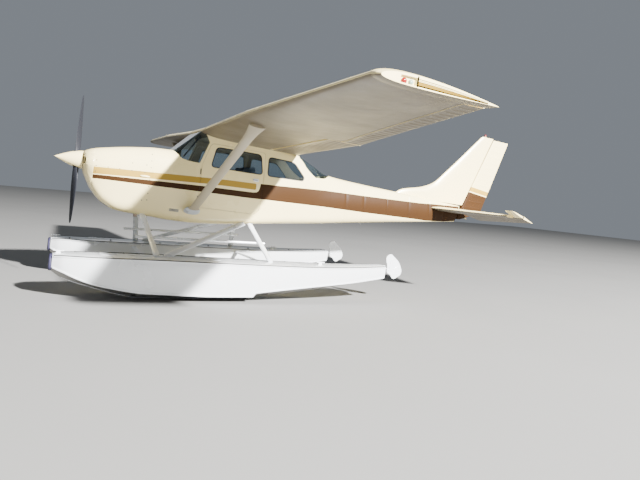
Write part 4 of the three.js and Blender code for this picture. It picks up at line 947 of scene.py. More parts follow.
def beaded(half, full, chord, bead, nose, edge, fade):
    """Sections of a beaded surface behind its hinge, as (along, across). nose is how long and wide the
    round front is in half thicknesses, edge half the trailing edge, and fade where along the full chord
    the beads end: half thickness = half * width * (1 - s) + edge, plus the bead."""
    half, full = half[:, None], full[:, None]
    long, wide = nose
    front = np.stack([half * long * np.cos(nose_angle), half * wide * np.sin(nose_angle)], -1)
    reach = chord[:, None] * chord_spots
    thick = half * wide * (1 - reach / full) + edge
    thick = thick + bead[:, None] * np.interp(reach / full, fade, [0, 0, 1, 1, 0, 0])
    return np.concatenate([front, np.stack([reach, -thick], -1), np.stack([reach, thick], -1)[:, ::-1]], 1)


rudder_z = np.linspace(620, 2275, 150)
half = 52 - (rudder_z - 900) * 0.0205
trail_x = EDGE_X + (rudder_z - EDGE_Z) * EDGE_SLOPE
low_x = np.interp(rudder_z, [620, 621, 800], [6000, 6000, 6500])
trail_x = np.where(rudder_z < 800, np.minimum(trail_x, low_x), trail_x)
hx = hinge_at(rudder_z)
full = (EDGE_X + (rudder_z - EDGE_Z) * EDGE_SLOPE) - hx
outline = beaded(half, full, trail_x - hx, pressed(rudder_z, 1000, 118, 3.2), (0.52, 0.9), 2.5,
                 [0, 0.08, 0.16, 0.86, 0.94, 1])
grid = np.stack([hx[:, None] + outline[..., 0], outline[..., 1],
                 np.repeat(rudder_z[:, None], outline.shape[1], 1)], -1)
BAND_SLOPE, BAND_EDGES = 0.11, (1196, 1218, 1306)
points, faces = shell(grid)
shape = bmesh.new()
solid = bpy.data.meshes.new("rudder")
solid.from_pydata(points.tolist(), [], faces)
shape.from_mesh(solid)
for edge in BAND_EDGES:
    bmesh.ops.bisect_plane(shape, geom=shape.verts[:] + shape.edges[:] + shape.faces[:], dist=0.05,
                           plane_co=(HINGE_X, 0, edge), plane_no=(BAND_SLOPE, 0, 1))
shape.to_mesh(solid)
shape.free()
points = np.array([tuple(v.co) for v in solid.vertices])
faces = [list(f.vertices) for f in solid.polygons]
bpy.data.meshes.remove(solid)
middles = np.array([points[f].mean(axis=0) for f in faces])
drop = middles[:, 2] + (middles[:, 0] - HINGE_X) * BAND_SLOPE
colour = np.select([drop < edge for edge in BAND_EDGES], [2, 0, 1], 0)
piece = make("rudder_skins", points, faces, [ivory, gold, brown], "rudder", colour, sharp=40)
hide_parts("rudder")

# Stabilizer halves and the elevator halves behind them, drooped as the column hangs forward. They are
# beaded sheet like the rudder, with painted shade underneath: a darker ivory on the faces that look down.
HINGE_LINE, STAB_Z = 6022.0, 768.0
DROOP = math.radians(18.5)
ELEVATOR_Z = 770.0
# Painted shade: the ivory enamel darkened to how it looks underneath in shade, for the faces that look down.
painted_shade_ivory = finish("ivory_underside_painted_shade", (0.16, 0.135, 0.095), 0.42, shine=0.2, spread=0.10, grain=2.2,
                      dimple=((2.6, 0.012), (260, 0.00012)))


def mirror(points, faces):
    """The same shape on the other side, its faces turned to keep them outward."""
    return points * [1, -1, 1], [f[::-1] for f in faces]


def facing_down(points, faces):
    """1 for each face that looks downwards, from the cross product of its two diagonals, else 0. These are
    the faces that take the painted shade.
    """
    corners = np.array([[f[0], f[len(f) // 3], f[len(f) // 2], f[-1]] for f in faces])
    a, b, c, d = np.moveaxis(points[corners], 1, 0)
    across = np.cross(c - a, d - b)
    return (across[:, 2] < -0.3 * np.linalg.norm(across, axis=1)).astype(int)


def pair(name, points, faces, finishes, bodies=("airframe", "airframe"), nodes=None, slot=None, **more):
    """A starboard piece and its mirror image to port."""
    for hand, body, (p, f) in (("right", bodies[0], (points, faces)),
                               ("left", bodies[1], mirror(points, faces))):
        piece = make(f"{name}_{hand}", p, f, finishes, body, **more)
        if nodes:
            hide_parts(f"{nodes}_{hand}")


span_y = np.linspace(0, 1, 30)
stab_y = 66 + span_y * (1520 - 66)
lead = np.stack([5225 + (stab_y - 62) / (1520 - 62) * 610, stab_y, np.full(30, STAB_Z)], 1)
back = np.stack([np.full(30, HINGE_LINE - 32), stab_y, np.full(30, STAB_Z)], 1)
stab_half = 44 + (stab_y - 22) / 1498 * -20
line, off = thin_grid(lead, back, stab_half, spots, share)
points, faces = shell(line + off[..., None] * [0, 0, 1])
pair("stabilizer_skins", points, faces, [ivory, painted_shade_ivory], nodes="stabilizer", slot="wing_skin", sharp=40,
     colour=facing_down(points, faces))


def droop(points):
    """Turns elevator points down about the hinge line to where the elevator rests."""
    x, z = points[:, 0] - HINGE_LINE, points[:, 2] - ELEVATOR_Z
    c, s = math.cos(DROOP), math.sin(DROOP)
    return np.stack([HINGE_LINE + c * x + s * z, points[:, 1], ELEVATOR_Z - s * x + c * z], 1)


elev_y = np.linspace(94, 1728, 150)
chord = np.interp(elev_y, [70, 1728], [390, 236])
half = np.interp(elev_y, [70, 1728], [41, 22])
notch_depth = np.interp(elev_y, [92, 236], [0, 460])
reach_end = np.where(elev_y < 236, np.minimum(chord, notch_depth), chord)
outline = beaded(half, chord, np.maximum(reach_end, 12), pressed(elev_y, 300, 112, 3.0), (0.6, 0.86), 2.2,
                 [0, 0.1, 0.2, 0.84, 0.94, 1])
grid = np.stack([HINGE_LINE + outline[..., 0], np.repeat(elev_y[:, None], outline.shape[1], 1),
                 ELEVATOR_Z + outline[..., 1]], -1)
points, faces = shell(grid)
pair("elevator_skins", droop(points), faces, [ivory, painted_shade_ivory], ("elevator", "elevator"), "elevator",
     "wing_skin", sharp=40, colour=facing_down(points, faces))
horn_y = np.array([1530.0, 1536, 1600, 1700, 1722, 1728])
horn_reach = np.interp(horn_y, [1530, 1728], [266, 273])
horn_share = np.array([0.95, 1, 1, 1, 0.95, 0.85])
a = np.linspace(-1, 1, 15)
nose_line = np.stack([-(1 - np.abs(a) ** 2.2), a], 1)
horn_out = nose_line[None, :, 0] * (horn_reach * horn_share)[:, None]
grid = np.stack([HINGE_LINE + np.where(nose_line[:, 0] < -0.001, horn_out, 20),
                 np.repeat(horn_y[:, None], 15, 1),
                 ELEVATOR_Z + 17 * nose_line[None, :, 1] * horn_share[:, None]], -1)
points, faces = shell(grid)
pair("elevator_horn", droop(points), faces, [ivory], ("elevator", "elevator"), slot="wing_skin", sharp=40,
     weld=False)

# The cabin inside: a carpeted floor, a fabric headliner under the wing, and a bulkhead behind the
# baggage space.
carpet = finish("grey_carpet", (0.10, 0.11, 0.13), 0.95, spread=0.25, grain=60, dimple=((900, 0.002),))
headliner_cloth = finish("headliner_fabric", (0.58, 0.53, 0.44), 0.9, spread=0.06, grain=18,
                         dimple=((700, 0.0006),))
CABIN_WALL = 30.0


def half_width(x, z, inset):
    """Half width of the fuselage at x and height z, less an inset."""
    g = girth_at(x, z)
    return half_ring(np.atleast_1d(np.asarray(x, float)), g)[:, 0] - inset


def spread_sheet(x, z, inset, across_count=17):
    """A level sheet from wall to wall at heights z along x."""
    half = half_width(x, z, inset)
    t = np.linspace(-1, 1, across_count)
    return np.stack([np.repeat(x[:, None], across_count, 1), half[:, None] * t,
                     np.repeat(z[:, None], across_count, 1)], -1)


floor_x = np.linspace(300, 2900, 40)
floor_z = np.maximum(half_ring(floor_x, np.zeros(40))[:, 1] + 34, 30)
points, faces = sheet(spread_sheet(floor_x, floor_z, CABIN_WALL))
make("cabin_carpet", points, faces, [carpet], wall=6)
liner_x = np.linspace(790, 2262, 40)
liner_z = root_height(liner_x) - 9
points, faces = sheet(spread_sheet(liner_x, liner_z, CABIN_WALL + 4))
make("cabin_headliner", points, [f[::-1] for f in faces], [headliner_cloth], wall=5)
wall_z = np.linspace(250, 1000, 20)
wall_half = half_width(np.full(20, 2960.0), wall_z, 30)
t = np.linspace(-1, 1, 13)
grid = np.stack([np.full((20, 13), 2960.0), wall_half[:, None] * t, np.repeat(wall_z[:, None], 13, 1)], -1)
points, faces = sheet(grid)
make("baggage_bulkhead", points, faces, [headliner_cloth], wall=5)

# The instrument panel: a black faced sheet with round dials and a radio stack, a padded glare
# shield over it, and a control yoke on each side.
black_plastic = finish("black_plastic", (0.030, 0.031, 0.034), 0.5, spread=0.2, grain=24,
                       dimple=((400, 0.0002),))
panel_half = 432.0
panel_line = rounded([(-panel_half, 570), (-panel_half, 900), (-150, 926), (150, 926), (panel_half, 900),
                      (panel_half, 570)], 40)
rings = [np.stack([np.full(len(panel_line), x), panel_line[:, 0], panel_line[:, 1]], 1) for x in (456, 482)]
panel = shell(np.stack(rings))
shield_y = np.linspace(-425, 425, 21)
shield_x = np.array([334.0, 400, 470, 500, 508, 500, 470, 400, 334])
shield_z = np.array([936.0, 936, 934, 929, 922, 914, 912, 912, 912])
sag = 26 * (np.abs(shield_y) / 425) ** 2.4
grid = np.stack([np.repeat(shield_x[None], 21, 0) + 0 * shield_y[:, None], np.repeat(shield_y[:, None], 9, 1),
                 shield_z[None] - sag[:, None]], -1)
shield = shell(grid)
DIALS = [*((y, z, 39) for y in (-300, -212, -124) for z in (800, 705)), (40, 800, 28), (110, 800, 28),
         (300, 790, 39)]
dials = [lathe([(482, radius), (487, radius), (490, radius - 5), (485, radius - 8)], 28, (0, y, z))
         for y, z, radius in DIALS]
radio_stack = block(481, 492, 150, 245, 600, 860, 2)
piece = make("instrument_board", *joined(panel, shield, *dials, radio_stack), [black_plastic], sharp=40,
             weld=False)
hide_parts("instrument_panel")
SEATS = ((-255, "left"), (255, "right"))
for y, hand in SEATS:
    column = rod((484, y, 668), (640, y, 668), 12)
    wheel_line = np.array([(650, y - 120, 760), (652, y - 132, 700), (652, y - 118, 652),
                           (650, y - 60, 640), (648, y, 650), (650, y + 60, 640), (652, y + 118, 652),
                           (652, y + 132, 700), (650, y + 120, 760)], float)
    path = rounded(wheel_line, 30, 5, closed=False)
    stations = [(*p, 22, 26) for p in path]
    piece = make(f"control_yoke_{hand}", *joined(column, spar(stations, (1, 0, 0), 14)), [black_plastic],
                 sharp=50, weld=False)
brace = [rod((672, side * 324, 1320), (428, side * 425, 960), 11) for side in (1, -1)]
make("windshield_brace", *joined(*brace), [black_plastic], sharp=50, weld=False)

# Seats: sprung cushions in blue-grey cloth on steel frames, two in front and a bench behind.
seat_cloth = finish("seat_cloth", (0.13, 0.165, 0.215), 0.88, spread=0.12, grain=40,
                    dimple=((1400, 0.0008), (60, 0.001)))
PAD_VOXEL, QUICK_VOXEL, PAD_CAP, PAD_PRESSURE, PAD_FRAMES = 0.008, 0.02, 0.024, 4.0, 20
CHANNEL_DEPTH, CHANNEL_WIDTH = 0.007, 0.006


def pad(name, outline, y0, y1, channels, node=None, swell=14.0):
    """A cushion: a slightly small block from its side view, blown up as cloth under pressure, its
    movement capped, then pulled in along sewn channels at the given y."""
    line = rounded(outline, 34, 6)
    middle = line.mean(axis=0)
    reach = np.linalg.norm(line - middle, axis=1)[:, None]
    small = middle + (line - middle) * (1 - swell / reach)
    depths = [(y0 + swell, 0.90), (y0 + swell + 10, 0.97), (y0 + swell + 26, 1.0), (y1 - swell - 26, 1.0),
              (y1 - swell - 10, 0.97), (y1 - swell, 0.90)]
    rings = [(middle + (small - middle) * k, np.full(len(small), y)) for y, k in depths]
    grid = np.stack([np.stack([ring[:, 0], y, ring[:, 1]], 1) for ring, y in rings])
    points, faces = shell(grid)
    piece = make(name, points, faces, [seat_cloth], sharp=180)
    remesh = piece.modifiers.new("even", "REMESH")
    remesh.mode = "VOXEL"
    remesh.voxel_size = PAD_VOXEL
    graph = bpy.context.evaluated_depsgraph_get()
    base = bpy.data.meshes.new_from_object(piece.evaluated_get(graph))
    piece.modifiers.clear()
    piece.data = base
    start = np.empty(len(base.vertices) * 3)
    base.vertices.foreach_get("co", start)
    cloth = piece.modifiers.new("blown", "CLOTH")
    cloth.settings.use_pressure = True
    cloth.settings.uniform_pressure_force = PAD_PRESSURE
    cloth.settings.effector_weights.gravity = 0
    cloth.point_cache.frame_end = PAD_FRAMES
    for moment in range(1, PAD_FRAMES + 1):
        bpy.context.scene.frame_set(moment)
    graph = bpy.context.evaluated_depsgraph_get()
    blown = bpy.data.meshes.new_from_object(piece.evaluated_get(graph))
    piece.modifiers.clear()
    swollen = np.empty(len(start))
    blown.vertices.foreach_get("co", swollen)
    step = (swollen - start).reshape(-1, 3)
    far = np.linalg.norm(step, axis=1)[:, None]
    step *= np.minimum(1, PAD_CAP / np.maximum(far, 1e-9))
    placed = start.reshape(-1, 3) + step
    across_seams = np.min([np.abs(placed[:, 1] - y / 1000) for y in channels], axis=0)
    centre = placed.mean(axis=0)
    inward = centre - placed
    inward[:, 1] = 0
    inward /= np.maximum(np.linalg.norm(inward, axis=1), 1e-6)[:, None]
    placed += inward * (CHANNEL_DEPTH * np.exp(-(across_seams / CHANNEL_WIDTH) ** 2))[:, None]
    blown.vertices.foreach_set("co", placed.reshape(-1))
    blown.update()
    piece.data = blown
    bpy.context.scene.frame_set(1)
    smooth = piece.modifiers.new("smooth", "SUBSURF")
    smooth.levels = smooth.render_levels = 1
    piece.data.shade_smooth()
    if not piece.data.materials:
        piece.data.materials.append(seat_cloth)
    if node:
        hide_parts(node)


SEAT_Z = 60.0
frame_steel = finish("seat_frame_steel", (0.20, 0.21, 0.22), 0.45, metal=0.7, spread=0.1, grain=16)
for y, hand in SEATS:
    pad(f"front_cushion_{hand}", [(960, 296), (960, 400), (1000, 420), (1380, 398), (1380, 296)], y - 213,
        y + 213, (y - 90, y + 90), f"seat_front_{hand}")
    pad(f"front_backrest_{hand}", [(1392, 400), (1464, 385), (1590, 984), (1566, 998), (1520, 998)], y - 203,
        y + 203, (y - 90, y + 90))
    legs = [rod((x, y + side * 150, SEAT_Z + 6), (x, y + side * 150, 290), 11) for x in (1040, 1380)
            for side in (-1, 1)]
    rails = [block(1000, 1420, y + side * 150 - 14, y + side * 150 + 14, SEAT_Z, SEAT_Z + 14, 2)
             for side in (-1, 1)]
    tray = block(975, 1440, y - 190, y + 190, 282, 294, 3)
    make(f"front_seat_frame_{hand}", *joined(*legs, *rails, tray), [frame_steel], sharp=40, weld=False)
pad("bench_cushion", [(1852, 205), (1852, 380), (1900, 400), (2240, 385), (2240, 205)], -400, 400,
    (-200, 0, 200), "seat_rear")
pad("bench_backrest", [(2244, 395), (2318, 380), (2440, 896), (2400, 908), (2364, 905)], -380, 380,
    (-190, 0, 190))

# The wing: a thin riveted box round two spars with pressed ribs, a flap and an aileron hung in
# coves behind it, and a moulded tip.
WING_Y = np.array([480.0, 2540.0, 5350.0])
WING = np.array([WING_ROOT, (652, 1466, 1626, math.radians(4.2)), (795, 1554, 1174, math.radians(2.5))])
FLAP_X, FLAP_NOSE, FLAP_COVE, FLAP_SWING = 1800.0, 44.0, 52.0, 74.0
AILERON_Y, AILERON_X = (2552.0, 5335.0), (2012.0, 1733.0)
AILERON_NOSE, AILERON_COVE = 27.0, 36.0
FLAP_LIP, AILERON_TOP_LIP, AILERON_LOW_LIP = 46, 12, 33


def wing_at(y):
    """Leading edge x and z, chord and incidence at y, straight between the three main ribs."""
    return np.stack([np.interp(y, WING_Y, WING[:, k]) for k in range(4)], -1)


def wing_point(y, u, upper):
    """A point of the wing's surface at y, u of the way along the chord."""
    x0, z0, chord, turn = np.moveaxis(wing_at(y), -1, 0)
    v = section_at(u, upper)
    return np.stack([x0 + chord * (u * np.cos(turn) + v * np.sin(turn)), np.broadcast_to(y, u.shape),
                     z0 + chord * (v * np.cos(turn) - u * np.sin(turn))], -1)


def chord_share(y, x, upper):
    """The u whose surface point lies at x, by three rounds of substitution."""
    x0, z0, chord, turn = np.moveaxis(wing_at(y), -1, 0)
    u = (x - x0) / chord / np.cos(turn)
    for _ in range(3):
        u = ((x - x0) / chord - section_at(u, upper) * np.sin(turn)) / np.cos(turn)
    return u


def hinge_height(y, x):
    """Height of the middle of the section at x, where a flap or aileron is hung."""
    x0, z0, chord, turn = np.moveaxis(wing_at(y), -1, 0)
    u = (x - x0) / chord / np.cos(turn)
    camber = 0.02 / 0.36 * (0.2 + 0.8 * u - u ** 2)
    return z0 + chord * (camber * np.cos(turn) - u * np.sin(turn))


def aileron_x(y):
    """x of the aileron hinge at y."""
    return AILERON_X[0] + (y - AILERON_Y[0]) / (AILERON_Y[1] - AILERON_Y[0]) * (AILERON_X[1] - AILERON_X[0])


def arc(centre_x, centre_z, radius, start, end, count):
    """Rows of points round a centre in the section's plane, from one angle to the other."""
    angle = np.radians(np.linspace(start, end, count))
    x, z = centre_x[:, None] + radius * np.cos(angle), centre_z[:, None] + radius * np.sin(angle)
    return np.stack([x, z], -1)


def wing_rings(y, kind):
    """Closed sections: over the top to the nose, back underneath, then up the cove or round the tail."""
    hx = np.where(kind == 1, FLAP_X, aileron_x(y))
    top_x = np.where(kind == 1, FLAP_X, aileron_x(y) - AILERON_TOP_LIP)
    low_x = np.where(kind == 1, FLAP_X - FLAP_LIP, aileron_x(y) - AILERON_LOW_LIP)
    u_top, u_low = chord_share(y, top_x, True), chord_share(y, low_x, False)
    t = (1 - np.cos(np.linspace(0, np.pi / 2, 34)))
    upper = wing_point(y[:, None], (u_top[:, None] * t[None])[:, ::-1], True)
    lower = wing_point(y[:, None], u_low[:, None] * t[None, 1:], False)
    tail_u = np.linspace(0, 1, 12)
    tail_low = wing_point(y[:, None], u_low[:, None] + (1 - u_low)[:, None] * tail_u[None, 1:], False)
    tail_up = wing_point(y[:, None], (1 - (1 - u_top)[:, None] * tail_u[None, :-1]), True)
    tail = np.concatenate([tail_low, tail_up], 1)
    hz = hinge_height(y, hx)
    flap_arc = np.concatenate([arc(hx, hz, FLAP_SWING, 232, 181, 10), arc(hx, hz, FLAP_COVE, 179, 91, 12)], 1)
    aileron_arc = arc(hx, hz, AILERON_COVE, 218, 112, 22)
    cove = np.where((kind == 1)[:, None, None], flap_arc, aileron_arc)
    cove = np.stack([cove[..., 0], np.broadcast_to(y[:, None], cove.shape[:2]), cove[..., 1]], -1)
    last = np.where((kind == 0)[:, None, None], tail, cove)
    return np.concatenate([upper, lower, last], 1)


rows = [(480.3, 0), (490, 0)] + [(y, 1) for y in np.linspace(490, 2538, 25)] + [(2538, 0), (2542, 0)]
rows += [(y, 2) for y in np.linspace(2542, 5345, 34)] + [(5345, 0), (5350, 0)]
ring_y, ring_kind = np.array(rows, float).T
points, faces = shell(wing_rings(ring_y, ring_kind))
# The wing's faces that look down take the painted shade ivory.
pair("wing_skins", points, faces, [ivory, painted_shade_ivory], nodes="wing", slot="wing_skin", sharp=24,
     colour=facing_down(points, faces))
t = 1 - np.cos(np.linspace(0, np.pi / 2, 34))
u = np.concatenate([t[::-1], t[1:]])[None]
upper = np.concatenate([np.ones(34, bool), np.zeros(33, bool)])[None]
grid = wing_point(np.array([[480.0]]), u, upper)
grid = np.concatenate([grid * [1, 0, 1] + [0, y, 0] for y in (-479.7, 479.7)])
points, faces = shell(grid)
piece = make("wing_middle", points, faces, [ivory, painted_shade_ivory], colour=facing_down(points, faces), sharp=24)
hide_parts("wing_centre")


def control(y, hx, nose_radius, nose_start, nose_end, ahead, beads):
    """A flap or aileron: the tail of the wing section behind its hinge, with a round nose and beads
    pressed chordwise in both skins."""
    u_top = chord_share(y, hx + ahead, True)
    u_low = chord_share(y, hx + ahead, False)
    share = np.linspace(0, 1, 16)
    swell = beads[:, None] * np.interp(share, [0, 0.12, 0.22, 0.86, 0.95, 1], [0, 0, 1, 1, 0, 0])
    top = wing_point(y[:, None], 1 - (1 - u_top)[:, None] * share[None], True)
    top[..., 2] += swell[:, ::-1]
    low = wing_point(y[:, None], u_low[:, None] + (1 - u_low)[:, None] * share[None], False)
    low[..., 2] -= swell
    nose = arc(hx, hinge_height(y, hx), nose_radius, nose_start, nose_end, 14)
    nose = np.stack([nose[..., 0], np.broadcast_to(y[:, None], nose.shape[:2]), nose[..., 1]], -1)
    return shell(np.concatenate([top, nose, low[:, :-1]], 1))


# The flap and aileron faces that look down take the painted shade ivory too.
flap_y = np.linspace(500, 2528, 320)
points, faces = control(flap_y, np.full(320, FLAP_X), FLAP_NOSE, 84, 276, 6, pressed(flap_y, 560, 127, 8.0))
pair("flap_skins", points, faces, [ivory, painted_shade_ivory], ("flap_right", "flap_left"), "flap", "wing_skin",
     sharp=30, colour=facing_down(points, faces))
aileron_y = np.linspace(2552, 5335, 440)
points, faces = control(aileron_y, aileron_x(aileron_y), AILERON_NOSE, 78, 282, 6,
                        pressed(aileron_y, 2612, 118, 7.5))
pair("aileron_skins", points, faces, [ivory, painted_shade_ivory], ("aileron_right", "aileron_left"), "aileron",
     "wing_skin", sharp=30, colour=facing_down(points, faces))


def wing_spots(y, u, upper=False):
    """Places on the wing's skin and the directions out of it."""
    y, u = np.broadcast_arrays(np.asarray(y, float), np.asarray(u, float))
    here = wing_point(y, u, upper)
    normal = np.cross(wing_point(y, u + 0.004, upper) - here, wing_point(y + 3, u, upper) - here)
    normal /= np.linalg.norm(normal, axis=1)[:, None]
    return here, normal * np.where(normal[:, 2:] * (1 if upper else -1) < 0, -1, 1)


rib_y = np.concatenate([np.linspace(560, 2480, 7), np.linspace(2600, 5300, 9)])
rib_u = np.linspace(0.03, 0.66, 30)
spar_y = np.arange(500, 5320, 42.0)
spots = [(np.repeat(rib_y, 30), np.tile(rib_u, len(rib_y))),
         *((spar_y, np.full(len(spar_y), u)) for u in (0.12, 0.27, 0.62))]
spots = [np.concatenate(column) for column in zip(*spots)]
# The underside rivets take the painted shade ivory.
for name, upper in (("top", True), ("under", False)):
    pair(f"wing_rivets_{name}", *studs(*wing_spots(*spots, upper), 3.6, 1.4),
         [ivory if upper else painted_shade_ivory])
cap_at, _ = wing_spots([1180.0], [0.3], True)
pair("fuel_cap", *moved(upright(lathe([(-6, 48), (5, 48), (9, 42), (10, 20)], 40)), cap_at[0]), [frame_steel])

# The wing tip: a moulded plastic fairing riveted over the last rib. Its end face is dished, with a
# pocket for two lamps, a drain slot and a fluted band behind them, painted with two thin brown lines
# and a gold band; the slot and the deep groove under the gold are painted brown as painted shade.
TIP = np.array([  # y, x, z, chord, flatness, incidence
    (5350.3, 795, 1554, 1174, 1, 2.5), (5390, 791.5, 1547, 1182, 0.93, 2.25),
    (5430, 788, 1540, 1190, 0.86, 2.0), (5465, 796, 1535, 1184, 0.78, 1.75),
    (5485, 802, 1532, 1178, 0.72, 1.6), (5500, 808, 1530, 1172, 0.68, 1.5)], float)


def tip_point(y, u, upper):
    """A point of the fairing: the wing's section scaled, flattened and turned as the rows give."""
    x0, z0, chord, flat, turn = np.moveaxis(eased(y, TIP[:, 0], TIP[:, 1:]), -1, 0)[..., None]
    v, turn = section_at(u, upper)[None] * flat, np.radians(turn)
    return np.stack([x0 + chord * (u * np.cos(turn) + v * np.sin(turn)), y[:, None] + 0 * v,
                     z0 + chord * (v * np.cos(turn) - u * np.sin(turn))], -1)


def face_depth(u, w):
    """How far the end face is sunk, u along the chord and w from its upper to its lower edge."""
    pocket = 24 * ((u > 0.152) & (u < 0.277) & (w > 0.21) & (w < 0.87))
    slot = 30 * ((u > 0.2825) & (u < 0.2925) & (w > 0.1) & (w < 0.9))
    flute = np.interp(w, [0, 0.25, 0.26, 0.46, 0.47, 0.72, 0.725, 0.88, 0.885, 1],
                      [0, 0, 3, 3, 5, 20, 34, 34, 4, 0])
    fade = np.interp(u, [0.2945, 0.296, 0.80, 0.893, 0.90], [0, 1, 1, 0.75, 0])
    return np.maximum(pocket + slot, flute * fade)


face_u = np.unique(np.concatenate([1 - np.cos(np.linspace(0, np.pi / 2, 34)),
                                   [0.150, 0.153, 0.276, 0.281, 0.283, 0.292, 0.294, 0.296, 0.80, 0.893,
                                    0.90]]))
face_w = np.array([0, 0.06, 0.2, 0.22, 0.25, 0.262, 0.27, 0.31, 0.37, 0.41, 0.459, 0.47, 0.53, 0.59, 0.65,
                   0.718, 0.728, 0.86, 0.878, 0.888, 0.94, 1])
tip_y = np.linspace(TIP[0, 0], TIP[-1, 0], 22)
over, under = tip_point(tip_y, face_u, True), tip_point(tip_y, face_u, False)
skin_grid = np.concatenate([over[:, ::-1], under[:, 1:]], 1)
skin_points, skin_faces = sheet(skin_grid, closed=True)
skin_faces = [f[::-1] for f in skin_faces] + [list(range(skin_grid.shape[1]))]
end_grid = over[-1][None] + (under[-1] - over[-1])[None] * face_w[:, None, None]
end_grid[..., 1] -= face_depth(face_u[None], face_w[:, None])
end_points, end_faces = sheet(end_grid)
if np.cross(end_grid[0, 9] - end_grid[0, 8], end_grid[1, 8] - end_grid[0, 8])[1] < 0:
    end_faces = [f[::-1] for f in end_faces]
middle_u = np.repeat(((face_u[1:] + face_u[:-1]) / 2)[None], len(face_w) - 1, 0).ravel()
middle_w = np.repeat(((face_w[1:] + face_w[:-1]) / 2)[:, None], len(face_u) - 1, 1).ravel()
banded = (middle_u > 0.295) & (middle_u < 0.897)
lines = ((middle_w > 0.27) & (middle_w < 0.31)) | ((middle_w > 0.37) & (middle_w < 0.41))
# The slot and the deep groove under the gold band are painted brown: painted shade. The two thin brown lines
# and the gold band are paint.
dark = (middle_u > 0.2815) & (middle_u < 0.2935) & (middle_w > 0.1) & (middle_w < 0.9)
end_colour = np.select([dark, banded & lines, banded & (middle_w > 0.46) & (middle_w < 0.72),
                        banded & (middle_w > 0.72) & (middle_w < 0.884)],
                       [2, 2, 1, 2], 0)
points, faces = joined((skin_points, skin_faces), (end_points, end_faces))
# Slot 3, the painted shade ivory, goes on the fairing's faces that look down.
colour = np.concatenate([3 * facing_down(skin_points, skin_faces), end_colour])
pair("wing_tip_fairing", points, faces, [ivory, gold, brown, painted_shade_ivory], nodes="wing_tip",
     slot="fairing_plastic", sharp=35, colour=colour)

lens_clear = finish("lens_clear", (0.30, 0.42, 0.33), 0.08, coat=0.3, spread=0.05, grain=20)
lens_red = finish("lens_red", (0.22, 0.008, 0.006), 0.12, coat=0.1, spread=0.05, grain=20)
lens_green = finish("lens_green", (0.008, 0.16, 0.05), 0.12, coat=0.1, spread=0.05, grain=20)
pair("wing_tip_strobe", *ball((1093, 5480, 1523), (22, 18, 22)), [lens_clear])
steady = ball((1027, 5480, 1522), (26, 19, 26))
make("wing_tip_lamp_right", *steady, [lens_green])
make("wing_tip_lamp_left", *mirror(*steady), [lens_red])

# The wing struts: drawn aluminium tube of streamline section with a folded cuff at each end.
cup_metal = finish("strut_cup", (0.66, 0.69, 0.72), 0.3, metal=0.25, coat=0.3, spread=0.05, grain=6)
# The struts' ivory enamel is darkened to how it looks in the wing's shadow: painted shade.
strut_ivory_painted_shade = finish("strut_enamel_painted_shade", (0.38, 0.33, 0.23), 0.40, shine=0.3, spread=0.06, grain=3)
STRUT_FOOT, STRUT_HEAD = (622, 512, 142), (868, 2450, 1352)
cuffed = [(0, 232, 80), (0.02, 236, 82), (0.034, 228, 76), (0.048, 186, 60), (0.062, 146, 48),
          (0.08, 138, 44), (0.3, 138, 44), (0.6, 138, 44), (0.878, 138, 44), (0.881, 144, 48),
          (0.91, 150, 48), (0.94, 168, 49), (0.97, 196, 49), (1, 226, 48)]
points, faces = spar(between(STRUT_FOOT, STRUT_HEAD, cuffed), count=40)
pair("wing_strut_tube", points, faces, [strut_ivory_painted_shade], nodes="wing_strut", slot="cabin_paint", sharp=40)
cup = [(0.001, 238, 88), (0.012, 246, 92), (0.03, 240, 86), (0.042, 214, 72), (0.05, 190, 62)]
pair("wing_strut_foot_cup", *spar(between(STRUT_FOOT, STRUT_HEAD, cup), count=40), [cup_metal], sharp=40)

# The floats: riveted aluminium hulls with a stepped V bottom and rails along chines and keel. The deck
# has a bead and a dark strip at its edge, standing for the seam there and painted shadow in it, hatches,
# bilge caps and cleats, and each bow a rubber bumper.
FLOAT_Y = 1100.0
FLOAT = np.array([  # x, half beam at the deck and chine, z of deck edge, chine and keel
    (-1236, 150, 138, -607, -752, -815), (-1110, 235, 222, -590, -790, -895),
    (-930, 285, 278, -580, -856, -952), (-730, 318, 320, -571, -912, -1000),
    (-450, 342, 350, -556, -952, -1060), (-160, 352, 362, -542, -982, -1110),
    (640, 352, 362, -511, -974, -1071), (1452, 340, 350, -484, -936, -1031),
    (1482, 339, 344, -483, -880, -1000), (2300, 300, 300, -452, -752, -862),
    (3060, 235, 232, -406, -642, -713), (3720, 165, 158, -346, -522, -570)], float)
DECK_CROWN, SIDE_BULGE = 22.0, 5.0
hull_white = finish("float_enamel", (0.80, 0.82, 0.83), 0.24, metal=0.15, coat=0.35, spread=0.04, grain=1.4,
                    dimple=((3.0, 0.006), (240, 0.00015)), wear=0.3)
# Below the chines the hulls are painted darker: painted shade and painted reflection of the dark ground under
# them.
hull_bottom_painted_shade = finish("float_bottom_painted_shade", (0.36, 0.35, 0.33), 0.34, metal=0.3, spread=0.12, grain=3,
                    dimple=((3.0, 0.006),), wear=0.3)
navy_rubber = finish("bumper_rubber", (0.030, 0.026, 0.065), 0.65, spread=0.2, grain=12,
                     dimple=((120, 0.0006),))
# Dark rubber for the bilge caps, and for the deck edge strip, where it is partly painted shadow.
rubber_and_seam_shadow = finish("rubber_caps_and_seam_shadow", (0.035, 0.034, 0.033), 0.7, spread=0.2, grain=12, dimple=((120, 0.0006),))


def float_at(x):
    """Half beam at the deck and chine, and the heights of deck edge, chine and keel, at x."""
    return eased(np.asarray(x, float), FLOAT[:, 0], FLOAT[:, 1:], (-160, 1452, 1482))


def deck_height(x, y=0.0):
    """Height of the crowned deck: flat ridge over the inner 60 percent, then down to the edge."""
    deck, _, edge, _, _ = float_at([x])[0]
    return float(edge + DECK_CROWN * np.interp(abs(y) / deck, [0, 0.6, 1], [1, 0.8, 0]))


